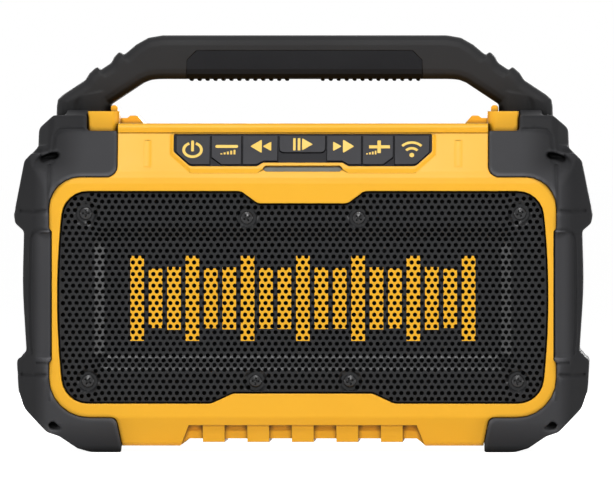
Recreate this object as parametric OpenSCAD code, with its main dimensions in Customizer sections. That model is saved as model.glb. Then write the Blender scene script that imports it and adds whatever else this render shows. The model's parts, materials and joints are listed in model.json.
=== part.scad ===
// Jobsite bluetooth speaker: housing with sloped keypad, side bumpers, carrying handle and perforated grille.
// Millimetres, Z up, the front faces -Y, origin on the ground in the middle of the footprint.

/* [Front] */
// Widest width of the grille opening
opening_w = 224; // [205:1:240]
// Height of the grille opening
opening_h = 97; // [92:1:106]
// Bow of each side of the opening
opening_bow = 3.2; // [1:0.2:5]
// Height of the bezel rim above and below the opening
rim_h = 6.2; // [5.6:0.1:8]
// Width of the bezel rim beside the opening
rim_side = 3.5; // [3.2:0.1:6]
// Height of the lower panel under the rim
lower_h = 13; // [11:0.5:17]
// Height of the sloped control panel
panel_h = 20.4; // [19.6:0.2:25]
// Lean of the control panel from the vertical
panel_tilt = 25; // [18:1:32]
// Height of the brow over the control panel
brow_h = 4.2; // [3.6:0.1:6]

/* [Body] */
// Depth from the bezel to the rear face
body_d = 124; // [116:1:146]
// Depth of the rear housing
rear_d = 44; // [42:1:54]
// Housing wall
wall = 2.5; // [2:0.1:3]
// Height of the housing above the ground
base_z = 3; // [2.5:0.1:4]
// Rise of the underside between the feet
under_rise = 3.3; // [2.6:0.1:4]
// Gap between neighbouring pieces
gap = 0.3; // [0.2:0.05:0.4]

/* [Bumpers] */
// Thickness of the bumper at its thick ends
bumper_t = 16.6; // [14:0.2:20]
// Thickness of the side rail between the thick ends
rail_t = 12.2; // [9:0.2:13]
// How far the side rail laps over the rim of the bezel
rail_lap = 1.2; // [0.4:0.1:1.6]
// How far the bumpers stand in front of the bezel and behind the rear face
bumper_proud = 2.4; // [1.4:0.1:4]

/* [Handle] */
// Height of the handle top above the deck
handle_rise = 40.5; // [38:0.5:56]
// Height of the grip bar
grip_h = 20; // [18:0.5:21]
// Depth of the grip bar
grip_d = 28; // [25:0.5:31]
// Thickness of the sloping legs
leg_t = 13.6; // [12:0.1:16]
// Slope of the legs
leg_slope = 33.5; // [30:0.5:38]
// Length of the soft grip
grip_l = 108; // [90:1:112]
// Thickness of the soft grip
grip_t = 2.5; // [2:0.1:3]
// Ribs in each group under the grip
grip_ribs = 13; // [8:1:14]

/* [Grille] */
// Depth of the grille behind the bezel
grille_set = 2.6; // [1.5:0.1:3]
// Sheet thickness
sheet_t = 1; // [0.8:0.1:1.2]
// Depth of the dished centre
dish_depth = 4; // [3:0.1:4.6]
// Pitch of the perforation
hole_pitch = 5; // [4.8:0.1:7]
// Diameter of the perforation
hole_d = 3; // [2:0.1:3.2]
// Diameter of the dimple round each grille screw
dimple_d = 9.2; // [9:0.1:9.6]

/* [Drivers] */
// Distance of each driver from the end of the opening
driver_in = 60; // [52:0.5:63]
// Radius of the basket flange
driver_r = 37; // [35:0.5:40]
// Travel of each cone to either side
cone_travel = 2; // [1:0.25:2]

/* [Keypad] */
// Width of the raised lip under the keypad
lip_w = 3.2; // [2.6:0.1:3.8]
// Width of the raised lip beside the keypad
lip_side = 1.8; // [1.4:0.1:2.6]
// Height of the raised lip
lip_h = 0.9; // [0.6:0.1:1.2]
// Width of the keypad
keypad_w = 117.6; // [110:0.5:120]
// Height of the keypad on the slope
keypad_h = 16.4; // [15:0.1:17]
// Travel of the keys
key_travel = 0.8; // [0.4:0.1:0.8]
// Rib of the keypad frame between two keys
key_rib = 0.5; // [0.4:0.05:0.9]
// Gap round each key
key_gap = 0.2; // [0.15:0.05:0.3]

/* [Rear] */
// Width of the battery bay
bay_w = 82; // [78:1:90]
// Depth of the battery bay
bay_d = 28; // [26:0.5:28]
// Distance of the port recess from the side of the housing
port_in = 42.5; // [39.5:0.5:44.5]
// Bore of the aux socket
aux_bore = 3.6; // [3.55:0.05:3.8]

/* [Hidden] */
arc_step = 15;
side = opening_w / 2 + rim_side;
under_z = base_z + under_rise;
rim_z0 = base_z + lower_h;
opening_z0 = rim_z0 + rim_h;
opening_z1 = opening_z0 + opening_h;
panel_z0 = opening_z1 + rim_h;
brow_z = panel_z0 + panel_h;
deck_z = brow_z + brow_h;
mid_z = (opening_z0 + opening_z1) / 2;

y_face = -body_d / 2;
y_rear = body_d / 2;
y_part = y_rear - rear_d;
y_core = y_face + 16;
y_core_r = y_rear - 16;
panel_y1 = y_face + panel_h * tan(panel_tilt);
brow_y = panel_y1 - 1.4;

// Corners where the bumpers wrap the housing
patch_x = side - 31.1;
foot_x = side - 33.2;
core_x = side - 0.5;
core_z0 = base_z + 5;
shoulder_z = deck_z - 10;

// Bumper levels
rail_z1 = opening_z1 - 18.4;
rail_z0 = opening_z0 + 20;
bumper_y = y_face - bumper_proud;
lean_z = panel_z0 - (bumper_proud - 0.9) / tan(panel_tilt);
tab_x0 = patch_x;
tab_x1 = patch_x + 14;

// Handle path
handle_z = deck_z + handle_rise;
grip_zc = handle_z - grip_h / 2;
leg_x = side - 11.5;
knee_z = deck_z + 9.6;
bend_x = leg_x - (grip_zc - knee_z) / tan(leg_slope);
foot_in = 15;
foot_out = 10.2;
foot_half_y = 15;
leg_in = leg_t / 2 + 2.1;
grip_line = grip_zc + 3;

// Layers behind the bezel
bezel_t = 10;
grille_y = y_face + grille_set;
baffle_y0 = y_face + bezel_t;
baffle_t = 4;
baffle_y1 = baffle_y0 + baffle_t;
driver_x = opening_w / 2 - driver_in;
driver_z = mid_z;
lug_r = driver_r + 2.5;
seat_r = driver_r * 30 / 37;
dish_x = opening_w / 2 - 17;
dish_z0 = opening_z0 + 16;
dish_z1 = opening_z1 - 17.2;
dish_slope = 4.5;
dimple_deep = 1.4;
grille_screw_at = [
    [opening_w / 2 - 13, opening_z1 - 10.2],
    [25.5, opening_z1 - 12.2],
    [opening_w / 2 - 14, opening_z0 + 10.3],
    [21.5, opening_z0 + 10.3]
];
boss_y = grille_y + dimple_deep + sheet_t;

// Keypad layers, along the outward normal of the control panel
panel_t = wall;
keypad_v1 = panel_h / cos(panel_tilt) - 0.8;
keypad_v0 = keypad_v1 - keypad_h;
key_top = 0.5;
frame_top = -0.3;
frame_back = -5;
skirt_t = 0.9;
key_back = frame_back - 0.1 - skirt_t;
switch_top = key_back - key_travel - 0.1;
board_front = switch_top - 3;
board_t = 1.6;
key_edge = [-keypad_w / 2, -42, -27.7, -11.1, 10.6, 27, 41.5, keypad_w / 2];
// Lower edge of each key above the foot of the keypad, and the radius of its lower corners
key_low = [0, 0.6, 0, 7, 0, 0.6, 0];
key_r = [0, 2.2, 0, 2, 0, 2.2, 0];
board_screw_x = keypad_w / 2 + 8;

// Rear
bay_y = y_rear - bay_d;
bay_z0 = base_z + 21;
rear_inner_y = bay_y - wall;
port_x = side - port_in;
port_z = mid_z;
port_w = 38;
port_h = 24;
port_deep = 6;
port_floor = y_rear - port_deep;
cover_t = 2.4;
pin_r = 1.2;
pin_y = y_rear - 2.4;
pin_z = port_z - port_h / 2 + 2.7;
aux_x = port_x - 9;
power_x = port_x + 8;
board_y = rear_inner_y - 9.5;
housing_screw_at = [[core_x - wall - 7, core_z0 + 11], [core_x - wall - 5.5, panel_z0 - 1]];
dock_t = 3;

// Outline helpers

function unit(v) = v / norm(v);

// Arc of radius r at corner b between a and c, a bare corner for r = 0
function fillet(a, b, c, r) =
    let (u = unit(a - b), v = unit(c - b), half = acos(max(-1, min(1, u * v))) / 2)
    (r <= 0 || half > 89.5) ? [b] :
    let (
        o = b + unit(u + v) * r / sin(half),
        s = b + u * r / tan(half) - o,
        e = b + v * r / tan(half) - o,
        a0 = atan2(s[1], s[0]),
        turn = (atan2(e[1], e[0]) - a0 + 540) % 360 - 180,
        n = max(2, ceil(abs(turn) / arc_step), ceil(abs(turn) * r * PI / 1440))
    )
    [for (i = [0:n]) o + r * [cos(a0 + turn * i / n), sin(a0 + turn * i / n)]];

function xy(p) = [p[0], p[1]];
function radius(p) = len(p) > 2 ? p[2] : 0;

// Closed outline with the radius given as third value of each corner
function rounded(p) = [
    for (i = [0:len(p) - 1])
        each fillet(xy(p[(i + len(p) - 1) % len(p)]), xy(p[i]), xy(p[(i + 1) % len(p)]), radius(p[i]))
];

// Right half of an outline, from the bottom up, closed with its mirror image
function both(half) = concat(half, [
    for (i = [len(half) - 1:-1:0]) [-half[i][0], half[i][1], radius(half[i])]
]);

function box2(x0, z0, x1, z1, r) = [[x0, z0, r], [x1, z0, r], [x1, z1, r], [x0, z1, r]];

module along_x(x0, x1) {
    translate([x0, 0, 0]) rotate([90, 0, 90]) linear_extrude(x1 - x0) children();
}

module along_y(y0, y1) {
    translate([0, y1, 0]) rotate([90, 0, 0]) linear_extrude(y1 - y0) children();
}

module along_z(z0, z1) {
    translate([0, 0, z0]) linear_extrude(z1 - z0) children();
}

module block(x0, y0, z0, x1, y1, z1) {
    translate([x0, y0, z0]) cube([x1 - x0, y1 - y0, z1 - z0]);
}

// Round bar from y0 towards +Y
module rod_y(x, y0, z, r, l) {
    translate([x, y0, z]) rotate([-90, 0, 0]) cylinder(r = r, h = l, $fn = 32);
}

module mirrored() {
    children();
    mirror([1, 0, 0]) children();
}

// Frame of the control panel: x across, y up the slope, z outwards
module on_panel(n = 0) {
    translate([0, y_face, panel_z0]) rotate([90 - panel_tilt, 0, 0]) translate([0, 0, n]) children();
}

// Cross-recess screw along -Z from the seat of its head at z = 0
module screw(r, l, head_r, head_h) {
    difference() {
        union() {
            translate([0, 0, -l]) cylinder(r = r, h = l, $fn = 24);
            cylinder(r = head_r, h = head_h, $fn = 32);
        }
        translate([0, 0, head_h - head_h * 0.3]) {
            cube([head_r * 1.2, head_r * 0.28, head_h], center = true);
            cube([head_r * 0.28, head_r * 1.2, head_h], center = true);
        }
    }
}

// Housing outlines in the front view

// Visible front and rear faces between the bumpers
function face_pts(i) = rounded(both([
    [52 + i, under_z + i],
    [56 + i, base_z + i],
    [foot_x - i, base_z + i],
    [foot_x + 2.6 - i, rim_z0 + i, 3],
    [side - i, rim_z0 + i, 18 - i],
    [side - i, rail_z0 - rail_lap, 0.8],
    [side - rail_lap - i, rail_z0, 0.8],
    [side - rail_lap - i, rail_z1, 0.8],
    [side - i, rail_z1 + rail_lap, 0.8],
    [side - i, panel_z0 - i, 14 - i],
    [patch_x - i, panel_z0 - i, 5 + i],
    [patch_x - i, deck_z - i]
]));

// Structure under the bumpers
function core_pts(i) = rounded(both([
    [52 + i, under_z + i],
    [56 + i, base_z + i],
    [foot_x - 1 - i, base_z + i],
    [foot_x - 1 - i, core_z0 + i],
    [core_x - i, core_z0 + i, 18 - i],
    [core_x - i, shoulder_z - i, 12 - i],
    [patch_x - i, shoulder_z - i],
    [patch_x - i, deck_z - i]
]));

// Side view of the housing
function side_pts() = rounded([
    [y_face, rim_z0, 4],
    [y_face + 5, base_z, 3],
    [y_rear - 5, base_z, 3],
    [y_rear, rim_z0, 4],
    [y_rear, deck_z, 10],
    [brow_y, deck_z, 2],
    [brow_y + 0.8, brow_z, 0.2],
    [panel_y1, brow_z, 0.2],
    [y_face, panel_z0, 13]
]);

// Grille opening with its notches at the top and the bottom
function opening_pts(i) = rounded(both([
    [31.8, opening_z0 + 4.6 + i, 4],
    [41.8, opening_z0 + i, 6],
    [opening_w / 2 - opening_bow - i, opening_z0 + i, 12 - i],
    each [for (t = [-0.7:0.2:0.7]) [opening_w / 2 - opening_bow * t * t - i, mid_z + t * opening_h / 2]],
    [opening_w / 2 - opening_bow - i, opening_z1 - i, 12 - i],
    [28.1, opening_z1 - i, 4],
    [20.4, opening_z1 - 5.6 - i, 4]
]));

function keypad_pts(i) = rounded(both([
    [18, keypad_v0 + 1.8 + i, 1],
    [20.9, keypad_v0 + i, 1],
    [keypad_w / 2 - 7.3, keypad_v0 + i, 3],
    [keypad_w / 2 - i, keypad_v0 + 7.2, 2],
    [keypad_w / 2 - i, keypad_v1 - i, 0.8]
]));

// Outer edge of the raised lip
function lip_pts() = rounded(both([
    [18, keypad_v0 + 1.8 - lip_w, 1],
    [20.9, keypad_v0 - lip_w, 1],
    [keypad_w / 2 - 7.4, keypad_v0 - lip_w, 3],
    [keypad_w / 2 + lip_side, keypad_v0 + 5.9, 2],
    [keypad_w / 2 + lip_side, keypad_v1, 0.8]
]));

function lens_pts(i) = rounded(both([
    [16.8 - i, keypad_v0 - 2.3 + i, 0.5],
    [18.2 - i, keypad_v0 - 1.1, 0.5],
    [16.8 - i, keypad_v0 + 0.1 - i, 0.5]
]));

// Housings

// Space behind the bezel and the control panel
module front_cavity() {
    slope = tan(panel_tilt);
    back = y_face + panel_t / cos(panel_tilt);
    z_a = panel_z0 - 1;
    z_b = deck_z - wall;
    intersection() {
        along_y(y_face, y_part + 1) polygon(core_pts(wall));
        along_x(-side, side) polygon([
            [baffle_y0, base_z],
            [baffle_y0, z_a],
            [back + (z_a - panel_z0) * slope, z_a],
            [back + (z_b - panel_z0) * slope, z_b],
            [y_part + 1, z_b],
            [y_part + 1, base_z]
        ]);
    }
}

module shell(y0, y1, y2) {
    intersection() {
        union() {
            along_y(y0, y1) children(0);
            along_y(y1, y2) children(1);
        }
        along_x(-side, side) polygon(side_pts());
    }
}

// Height of the underside of the sloping leg at x
function leg_under(x) = knee_z + (leg_x - x) * tan(leg_slope) - leg_in / cos(leg_slope);

// Yellow block in front of each handle foot, ear at its inner side and low ramp beside it
module handle_tabs() {
    x1 = leg_x - foot_in - gap;
    ear_z = leg_under(x1) - 0.6;
    along_z(shoulder_z - 1, deck_z + 5.6) polygon(rounded([
        [tab_x0 - 0.4, y_core + 1, 4],
        [tab_x1, y_core + 1, 1],
        [tab_x1, -foot_half_y - 1, 1],
        [tab_x0 - 0.4, -foot_half_y - 1, 4]
    ]));
    along_y(-foot_half_y - 1.5, foot_half_y) polygon(rounded([
        [patch_x - 1, shoulder_z - 1],
        [x1, shoulder_z - 1],
        [x1, ear_z, 1.2],
        [patch_x + 1.1, ear_z, 1.4],
        [patch_x + 1.1, deck_z - 1],
        [patch_x - 1, deck_z - 1]
    ]));
    along_y(-foot_half_y, y_part - 1) polygon(rounded([
        [patch_x - 10.6, deck_z - 1],
        [patch_x - 10.6, deck_z + 0.3],
        [patch_x - 7.6, deck_z + 3.7, 1],
        [patch_x - 4.6, deck_z + 3.7, 1],
        [patch_x - 3.2, deck_z + 2.6],
        [patch_x + 0.5, deck_z + 2.6],
        [patch_x + 0.5, deck_z - 1]
    ]));
}

// Lip round the keypad, chamfered on its outside
module keypad_lip() {
    x = keypad_w / 2;
    v = keypad_v0 - lip_w;
    turn = atan2(5.9 + lip_w, 7.4 + lip_side);
    on_panel() difference() {
        translate([0, 0, -1]) linear_extrude(1 + lip_h) polygon(lip_pts());
        translate([-side, keypad_v1 - 0.5, -2]) cube([2 * side, 20, 20]);
        translate([-side, v, 0]) rotate([atan2(lip_h, 2), 0, 0]) translate([0, -20, 0])
            cube([2 * side, 40, 20]);
        mirrored() {
            translate([x + lip_side, 0, 0]) rotate([0, atan2(lip_h, 1.2), 0]) translate([-20, -20, 0])
                cube([40, 80, 20]);
            translate([x - 7.4, v, 0]) rotate([0, 0, turn]) rotate([atan2(lip_h, 1.4), 0, 0])
                translate([-20, -20, 0]) cube([60, 40, 20]);
        }
    }
}

// Hollow over the raised underside at the front
module foot_hollow() {
    along_y(y_face - 1, y_face + 30) polygon(rounded(both([
        [56, base_z - 1],
        [52, rim_z0 - 3.6]
    ])));
}

module foot_ribs() {
    intersection() {
        union() {
            for (k = [-2:2]) {
                block(k * 20.3 - 5, y_face, under_z - 1.6, k * 20.3 + 5, y_part - 4, rim_z0 - 2);
            }
        }
        along_x(-side, side) polygon([
            [y_face + 1.6, rim_z0 - 2],
            [y_face + 5.6, under_z - 1.6],
            [y_part - 4, under_z - 1.6],
            [y_part - 4, under_z + 0.5],
            [y_face + 9, under_z + 0.5],
            [y_face + 9, rim_z0 - 2]
        ]);
    }
}

module front_housing() {
    color("#fdbc2e") difference() {
        union() {
            difference() {
                union() {
                    difference() {
                        shell(y_face, y_core, y_part) {
                            polygon(face_pts(0));
                            polygon(core_pts(0));
                        }
                        intersection() {
                            foot_hollow();
                            along_x(-side, side) polygon([
                                [y_face - 1, base_z - 1],
                                [y_face + 7.5, base_z - 1],
                                [y_face + 5, rim_z0],
                                [y_face - 1, rim_z0]
                            ]);
                        }
                    }
                    foot_ribs();
                    mirrored() handle_tabs();
                    keypad_lip();
                }
                front_cavity();
            }
            mirrored() {
                for (p = housing_screw_at) {
                    rod_y(p[0], y_part - 24, p[1], 5.8, 24);
                }
                translate([leg_x, 8, shoulder_z - wall - 3.5]) cylinder(r = 6, h = 4, $fn = 32);
                translate([leg_x, -8, shoulder_z - wall - 3.5]) cylinder(r = 6, h = 4, $fn = 32);
                on_panel(board_front) translate([board_screw_x, (keypad_v0 + keypad_v1) / 2, 0])
                    cylinder(r = 3, h = -board_front - 1, $fn = 24);
            }
        }
        along_y(y_face - 1, baffle_y0 + 1) polygon(opening_pts(0));
        on_panel(-panel_t - 2) linear_extrude(panel_t + 12) polygon(keypad_pts(-0.15));
        on_panel(-panel_t - 2) linear_extrude(panel_t + 12) polygon(lens_pts(-0.1));
        mirrored() {
            on_panel(7) translate([70.9, keypad_v0, 0]) rotate([-90, 0, 0])
                cylinder(r = 7.25, h = keypad_h - 3, $fn = 96);
            for (p = housing_screw_at) {
                rod_y(p[0], y_part - 18, p[1], 1.6, 20);
            }
            for (y = [-8, 8]) {
                translate([leg_x, y, shoulder_z - 12]) cylinder(r = 2.6, h = 20, $fn = 24);
            }
            on_panel(board_front - 1) translate([board_screw_x, (keypad_v0 + keypad_v1) / 2, 0])
                cylinder(r = 1.3, h = 7, $fn = 24);
        }
        for (p = baffle_screw_at()) {
            rod_y(p[0], baffle_y0 - 6, p[1], 1.35, 8);
        }
    }
}

function baffle_screw_at() = [
    for (x = [-80, 0, 80], z = [opening_z0 - 2.4, opening_z1 + 2.4]) [x, z]
];

module rear_housing() {
    color("#2b2b2c") difference() {
        union() {
            difference() {
                shell(y_part, y_core_r, y_rear) {
                    polygon(core_pts(0));
                    polygon(face_pts(0));
                }
                difference() {
                    union() {
                        along_y(y_part - 1, y_core_r - wall) polygon(core_pts(wall));
                        intersection() {
                            along_y(y_part, y_rear - wall) polygon(face_pts(wall));
                            along_y(y_part, y_rear - wall) polygon(core_pts(wall));
                            along_x(-side, side) polygon(rounded([
                                [y_part, base_z, 0],
                                [y_rear - 8, base_z, 0],
                                [y_rear - wall, rim_z0, 4],
                                [y_rear - wall, deck_z - wall, 8],
                                [y_part, deck_z - wall, 0]
                            ]));
                        }
                    }
                    block(-bay_w / 2 - wall, rear_inner_y, bay_z0 - wall, bay_w / 2 + wall, y_rear, deck_z);
                    block(port_x - port_w / 2 - wall, port_floor - wall, port_z - port_h / 2 - wall,
                        port_x + port_w / 2 + wall, y_rear, port_z + port_h / 2 + wall);
                }
            }
            mirrored() {
                for (p = housing_screw_at) {
                    rod_y(p[0], y_part, p[1], 6.2, y_core_r - y_part);
                }
                for (z = board_screw_z()) {
                    rod_y(bay_w / 2 - 4, board_y + board_t, z, 3.2, rear_inner_y - board_y);
                }
            }
        }
        block(-bay_w / 2, bay_y, bay_z0, bay_w / 2, y_rear + 1, deck_z + 1);
        block(port_x - port_w / 2, port_floor, port_z - port_h / 2, port_x + port_w / 2, y_rear + 1,
            port_z + port_h / 2);
        along_x(port_x - port_w / 2, port_x + port_w / 2) polygon([
            [pin_y + 0.3, port_z - port_h / 2 + 0.1],
            [y_rear + 1, port_z - port_h / 2 + 0.1],
            [y_rear + 1, port_z - port_h / 2 - 1.4]
        ]);
        rod_y(aux_x, port_floor - wall - 1, port_z + 1, 4.1, wall + 2);
        rod_y(power_x, port_floor - wall - 1, port_z + 1, 5.6, wall + 2);
        translate([port_x - port_w / 2 - 2, pin_y, pin_z]) rotate([0, 90, 0])
            cylinder(r = pin_r + 0.02, h = port_w + 4, $fn = 32);
        mirrored() {
            for (p = housing_screw_at) {
                rod_y(p[0], y_part - 1, p[1], 2.1, y_rear);
                rod_y(p[0], y_part + 5, p[1], 4.2, y_rear);
            }
            for (z = board_screw_z()) {
                rod_y(bay_w / 2 - 4, board_y, z, 1.3, 8);
            }
        }
        along_y(y_part - 1, y_part + 1.2) difference() {
            polygon(core_pts(0.7));
            polygon(core_pts(1.8));
        }
    }
}

function board_screw_z() = [bay_z0 + 14, panel_z0 - 22];

module housing_seal() {
    color("#1c1c1d") along_y(y_part, y_part + 1.2) difference() {
        polygon(core_pts(0.75));
        polygon(core_pts(1.75));
    }
}

module housing_screws() {
    color("#8d8f92") mirrored() for (p = housing_screw_at) {
        translate([p[0], y_part + 5, p[1]]) rotate([-90, 0, 0]) screw(1.5, 20, 3.4, 2.6);
    }
}

// Bumpers

function bumper_pts() = rounded([
    [foot_x - 4, mid_z],
    [foot_x - 4, deck_z - 3.4],
    [tab_x1 + gap, deck_z - 3.4, 1],
    [tab_x1 + gap, deck_z + 3.8, 2],
    [side - 1.6, deck_z + 3.8, 2],
    [side + 5.4, deck_z - 2.2, 4],
    [side + 5.6, deck_z - 11, 1],
    [side + 11.6, deck_z - 17, 3],
    [side + bumper_t, rail_z1 + 7.5, 3],
    [side + bumper_t - 0.6, rail_z1 + 3.6, 2],
    [side + rail_t - 0.4, rail_z1, 1],
    [side + rail_t + 0.3, (rail_z0 + rail_z1) / 2 + 4, 200],
    [side + rail_t - 1.6, rail_z0 + 4, 1],
    [side + bumper_t - 1.4, rail_z0, 3],
    [side + bumper_t - 2.2, base_z + 25, 12],
    [side + 11.6, base_z + 17, 7],
    [side + 1.1, base_z + 6.2, 4],
    [side - 4.4, base_z + 4.4, 1],
    [side - 10.2, base_z + 0.5, 1],
    [side - 12.8, base_z - 1.2, 1],
    [side - 19, 0, 10],
    [foot_x + gap, 0, 0.8],
    [foot_x + gap, base_z + 4],
    [foot_x - 4, base_z + 4]
]);

// Side view of the bumpers: leaning front like the panel, mirrored at the rear
function bumper_side_pts() =
    let (y = bumper_y, y_top = bumper_y + (deck_z + 4 - lean_z) * tan(panel_tilt))
    rounded([
        [y + 5, 0, 2], [y, base_z + 10, 8], [y, lean_z, 12], [y_top, deck_z + 4, 3],
        [-y_top, deck_z + 4, 3], [-y, lean_z, 12], [-y, base_z + 10, 8], [-y - 5, 0, 2]
    ]);

// Plan of a tier up to x: flat front at y, then a narrow and a broad chamfer
function tier_pts(y, x) = rounded([
    [foot_x - 4, y], [x - 14, y, 4], [x - 10, y + 2.5, 4], [x, y + 14, 6],
    [x, -y - 14, 6], [x - 10, -y - 2.5, 4], [x - 14, -y, 4], [foot_x - 4, -y]
]);

function rail_pts(y, x) = rounded([
    [foot_x - 4, y], [x - 6.5, y, 5.5], [x, y + 6.5, 5.5],
    [x, -y - 6.5, 5.5], [x - 6.5, -y, 5.5], [foot_x - 4, -y]
]);

// Front of the shoulder, leaning like the control panel
module shoulder_half() {
    x = side + 5.6;
    translate([0, bumper_y, lean_z]) rotate([-panel_tilt, 0, 0]) translate([0, 0, -30]) linear_extrude(220)
        polygon(rounded([
            [foot_x - 4, -1], [x - 8.6, -1], [x - 5, 2, 3], [x, 10, 5], [x, 170], [foot_x - 4, 170]
        ]));
}

module bumper_solid() {
    y = bumper_y;
    x = side + bumper_t + 0.1;
    intersection() {
        along_y(y, -y) polygon(bumper_pts());
        along_x(0, side + bumper_t + 1) polygon(bumper_side_pts());
        union() {
            intersection() {
                along_z(deck_z - 15, deck_z + 6) translate([0, -body_d]) square([2 * side, 2 * body_d]);
                shoulder_half();
                mirror([0, 1, 0]) shoulder_half();
            }
            along_z(deck_z - 14.4, deck_z - 10) polygon(tier_pts(y + 10, x));
            along_z(rail_z1 - 0.5, deck_z - 13.6) polygon(tier_pts(y, x));
            along_z(rail_z0 - 1, rail_z1 + 2) polygon(rail_pts(y_face + 0.4, side + rail_t + 0.6));
            along_z(-1, rail_z0 + 1) polygon(tier_pts(y, x));
        }
    }
}

// Slope that rises from the front of the shoulder to the handle foot
module foot_collar() {
    y = bumper_y + (deck_z + 3.4 - lean_z) * tan(panel_tilt) + 1.5;
    along_x(tab_x1 + gap, side - 6.8) polygon([
        [y, deck_z + 2],
        [y, deck_z + 3.4],
        [-foot_half_y - gap, deck_z + 6.3],
        [-foot_half_y + 2, deck_z + 6.3],
        [-foot_half_y + 2, deck_z + 2]
    ]);
}

// Scoop under the shoulder, running out downwards, and small one over the foot at one corner
module corner_pockets() {
    y = bumper_y;
    z = deck_z - 13.6;
    w = base_z + 11;
    intersection() {
        along_x(side - 6, side + 12) polygon([
            [y - 2, z], [y + 9, z], [y + 9, z - 1.4], [y + 1.6, z - 8.8], [y - 2, z - 8.8]
        ]);
        along_y(y - 3, y + 15) polygon([
            [side + 0.4, z - 9], [side - 4.4, z], [side - 4.4, z + 1],
            [side + 3.7, z + 1], [side + 3.7, z], [side + 10.6, z - 9]
        ]);
    }
    intersection() {
        along_x(side - 8, side + 2) polygon([
            [y - 2, w + 1], [y + 5, w + 1], [y + 5, w - 0.5], [y + 0.5, w - 5.5], [y - 2, w - 5.5]
        ]);
        along_y(y - 3, y + 6) polygon([
            [side - 6.6, base_z + 7], [side - 1.8, base_z + 11.6],
            [side + 0.6, base_z + 10], [side - 0.4, base_z + 7]
        ]);
    }
}

// Shallow groove round the outside of a thick end
module band_groove(z) {
    x = side + bumper_t;
    along_z(z, z + 1.2) difference() {
        translate([side + 2, -body_d]) square([40, 2 * body_d]);
        polygon(tier_pts(bumper_y + 0.9, x - 0.9));
    }
}

module right_bumper_body() {
    difference() {
        union() {
            bumper_solid();
            foot_collar();
            mirror([0, 1, 0]) foot_collar();
        }
        along_z(-1, base_z) polygon([
            [foot_x - 10, bumper_y - 1],
            [foot_x + gap, bumper_y - 1],
            [foot_x + gap + 3.4, 1 - bumper_y],
            [foot_x - 10, 1 - bumper_y]
        ]);
        along_y(y_face - 9, y_core + gap) polygon(face_pts(-gap));
        along_y(y_core - gap, y_core_r + gap) polygon(core_pts(-gap));
        along_y(y_core_r - gap, y_rear + 9) polygon(face_pts(-gap));
        block(leg_x - foot_in - gap, -foot_half_y - gap, shoulder_z - 1,
            leg_x + foot_out + gap, foot_half_y + gap, deck_z + 9);
        block(patch_x - 1, y_core + 1 - gap, shoulder_z - 1, tab_x1 + gap, -foot_half_y, deck_z + 9);
        block(patch_x - 1, -foot_half_y - 2, shoulder_z - 1,
            leg_x - foot_in, foot_half_y + gap, deck_z + 9);
        corner_pockets();
        mirror([0, 1, 0]) corner_pockets();
        band_groove(rail_z1 + 9.2);
        band_groove(rail_z0 - 7);
    }
}

module right_bumper() {
    color("#2e2e30") right_bumper_body();
}

module left_bumper() {
    color("#2e2e30") mirror([1, 0, 0]) right_bumper_body();
}

// Handle

// Teeth on the outer side of each leg: distance down the slope and height
function tooth_at() = [
    [8.4, 0], [8.9, 1.9], [9.8, 2.1], [12.5, 1.5], [14.2, 0.4], [15.5, 0],
    [20.9, 0], [21.4, 1.9], [22.3, 2.1], [26, 1.6], [28.2, 0.5], [29.6, 0]
];

function tooth_pt(t) = [bend_x + t[0] * cos(leg_slope), grip_zc - t[0] * sin(leg_slope)];

// Thickness of the handle on the outer and the inner side of its middle line at height z of that line
function handle_outer(z) = lookup(z, [
    [knee_z - 5.6, foot_out], [knee_z - 0.9, foot_out - 0.6], [knee_z - 0.6, leg_t / 2 + 2.4],
    [knee_z - 0.1, leg_t / 2 + 1.1], [knee_z + 0.3, leg_t / 2 + 0.4], [knee_z + 0.9, leg_t / 2],
    [grip_zc - 3, leg_t / 2], [grip_zc, grip_h / 2]
]);

function handle_inner(z) = lookup(z, [
    [knee_z + 1.5, 2.5], [knee_z + 6, leg_in], [grip_zc - 3, leg_in], [grip_zc, grip_h / 2]
]);

function handle_half_y(z) = lookup(z, [[knee_z, foot_half_y], [grip_zc, grip_d / 2]]);

// Middle line of the right half with the extra height of the teeth as third value
function handle_line() =
    let (
        bend = fillet([0, grip_zc], [bend_x, grip_zc], tooth_pt([40, 0]), 24),
        knee = fillet([bend_x, grip_zc], [leg_x, knee_z], [leg_x, shoulder_z], 3)
    )
    concat(
        [[0, grip_zc, 0]],
        [for (p = bend) [p[0], p[1], 0]],
        [for (t = tooth_at()) [tooth_pt(t)[0], tooth_pt(t)[1], t[1]]],
        [for (p = knee) [p[0], p[1], 0]],
        [[leg_x, shoulder_z, 0]]
    );

function corner_arc(cy, cn, r, a0) = [for (i = [0:3]) [cy + r * cos(a0 + 30 * i), cn + r * sin(a0 + 30 * i)]];

// Rounded section, first value along Y and second outwards
function bar_section(w, inner, outer, r) = concat(
    corner_arc(w - r, outer - r, r, 0),
    corner_arc(r - w, outer - r, r, 90),
    corner_arc(r - w, r - inner, r, 180),
    corner_arc(w - r, r - inner, r, 270)
);

function handle_ring(line, i) =
    let (
        p = line[i],
        a = line[max(0, i - 1)],
        b = line[min(len(line) - 1, i + 1)],
        d = i == 0 ? [1, 0] : (i == len(line) - 1 ? [0, -1] : unit(xy(b) - xy(a)))
    )
    [for (q = bar_section(handle_half_y(p[1]), handle_inner(p[1]), handle_outer(p[1]) + p[2], 4.5))
        [p[0] - q[1] * d[1], q[0], p[1] + q[1] * d[0]]];

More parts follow.
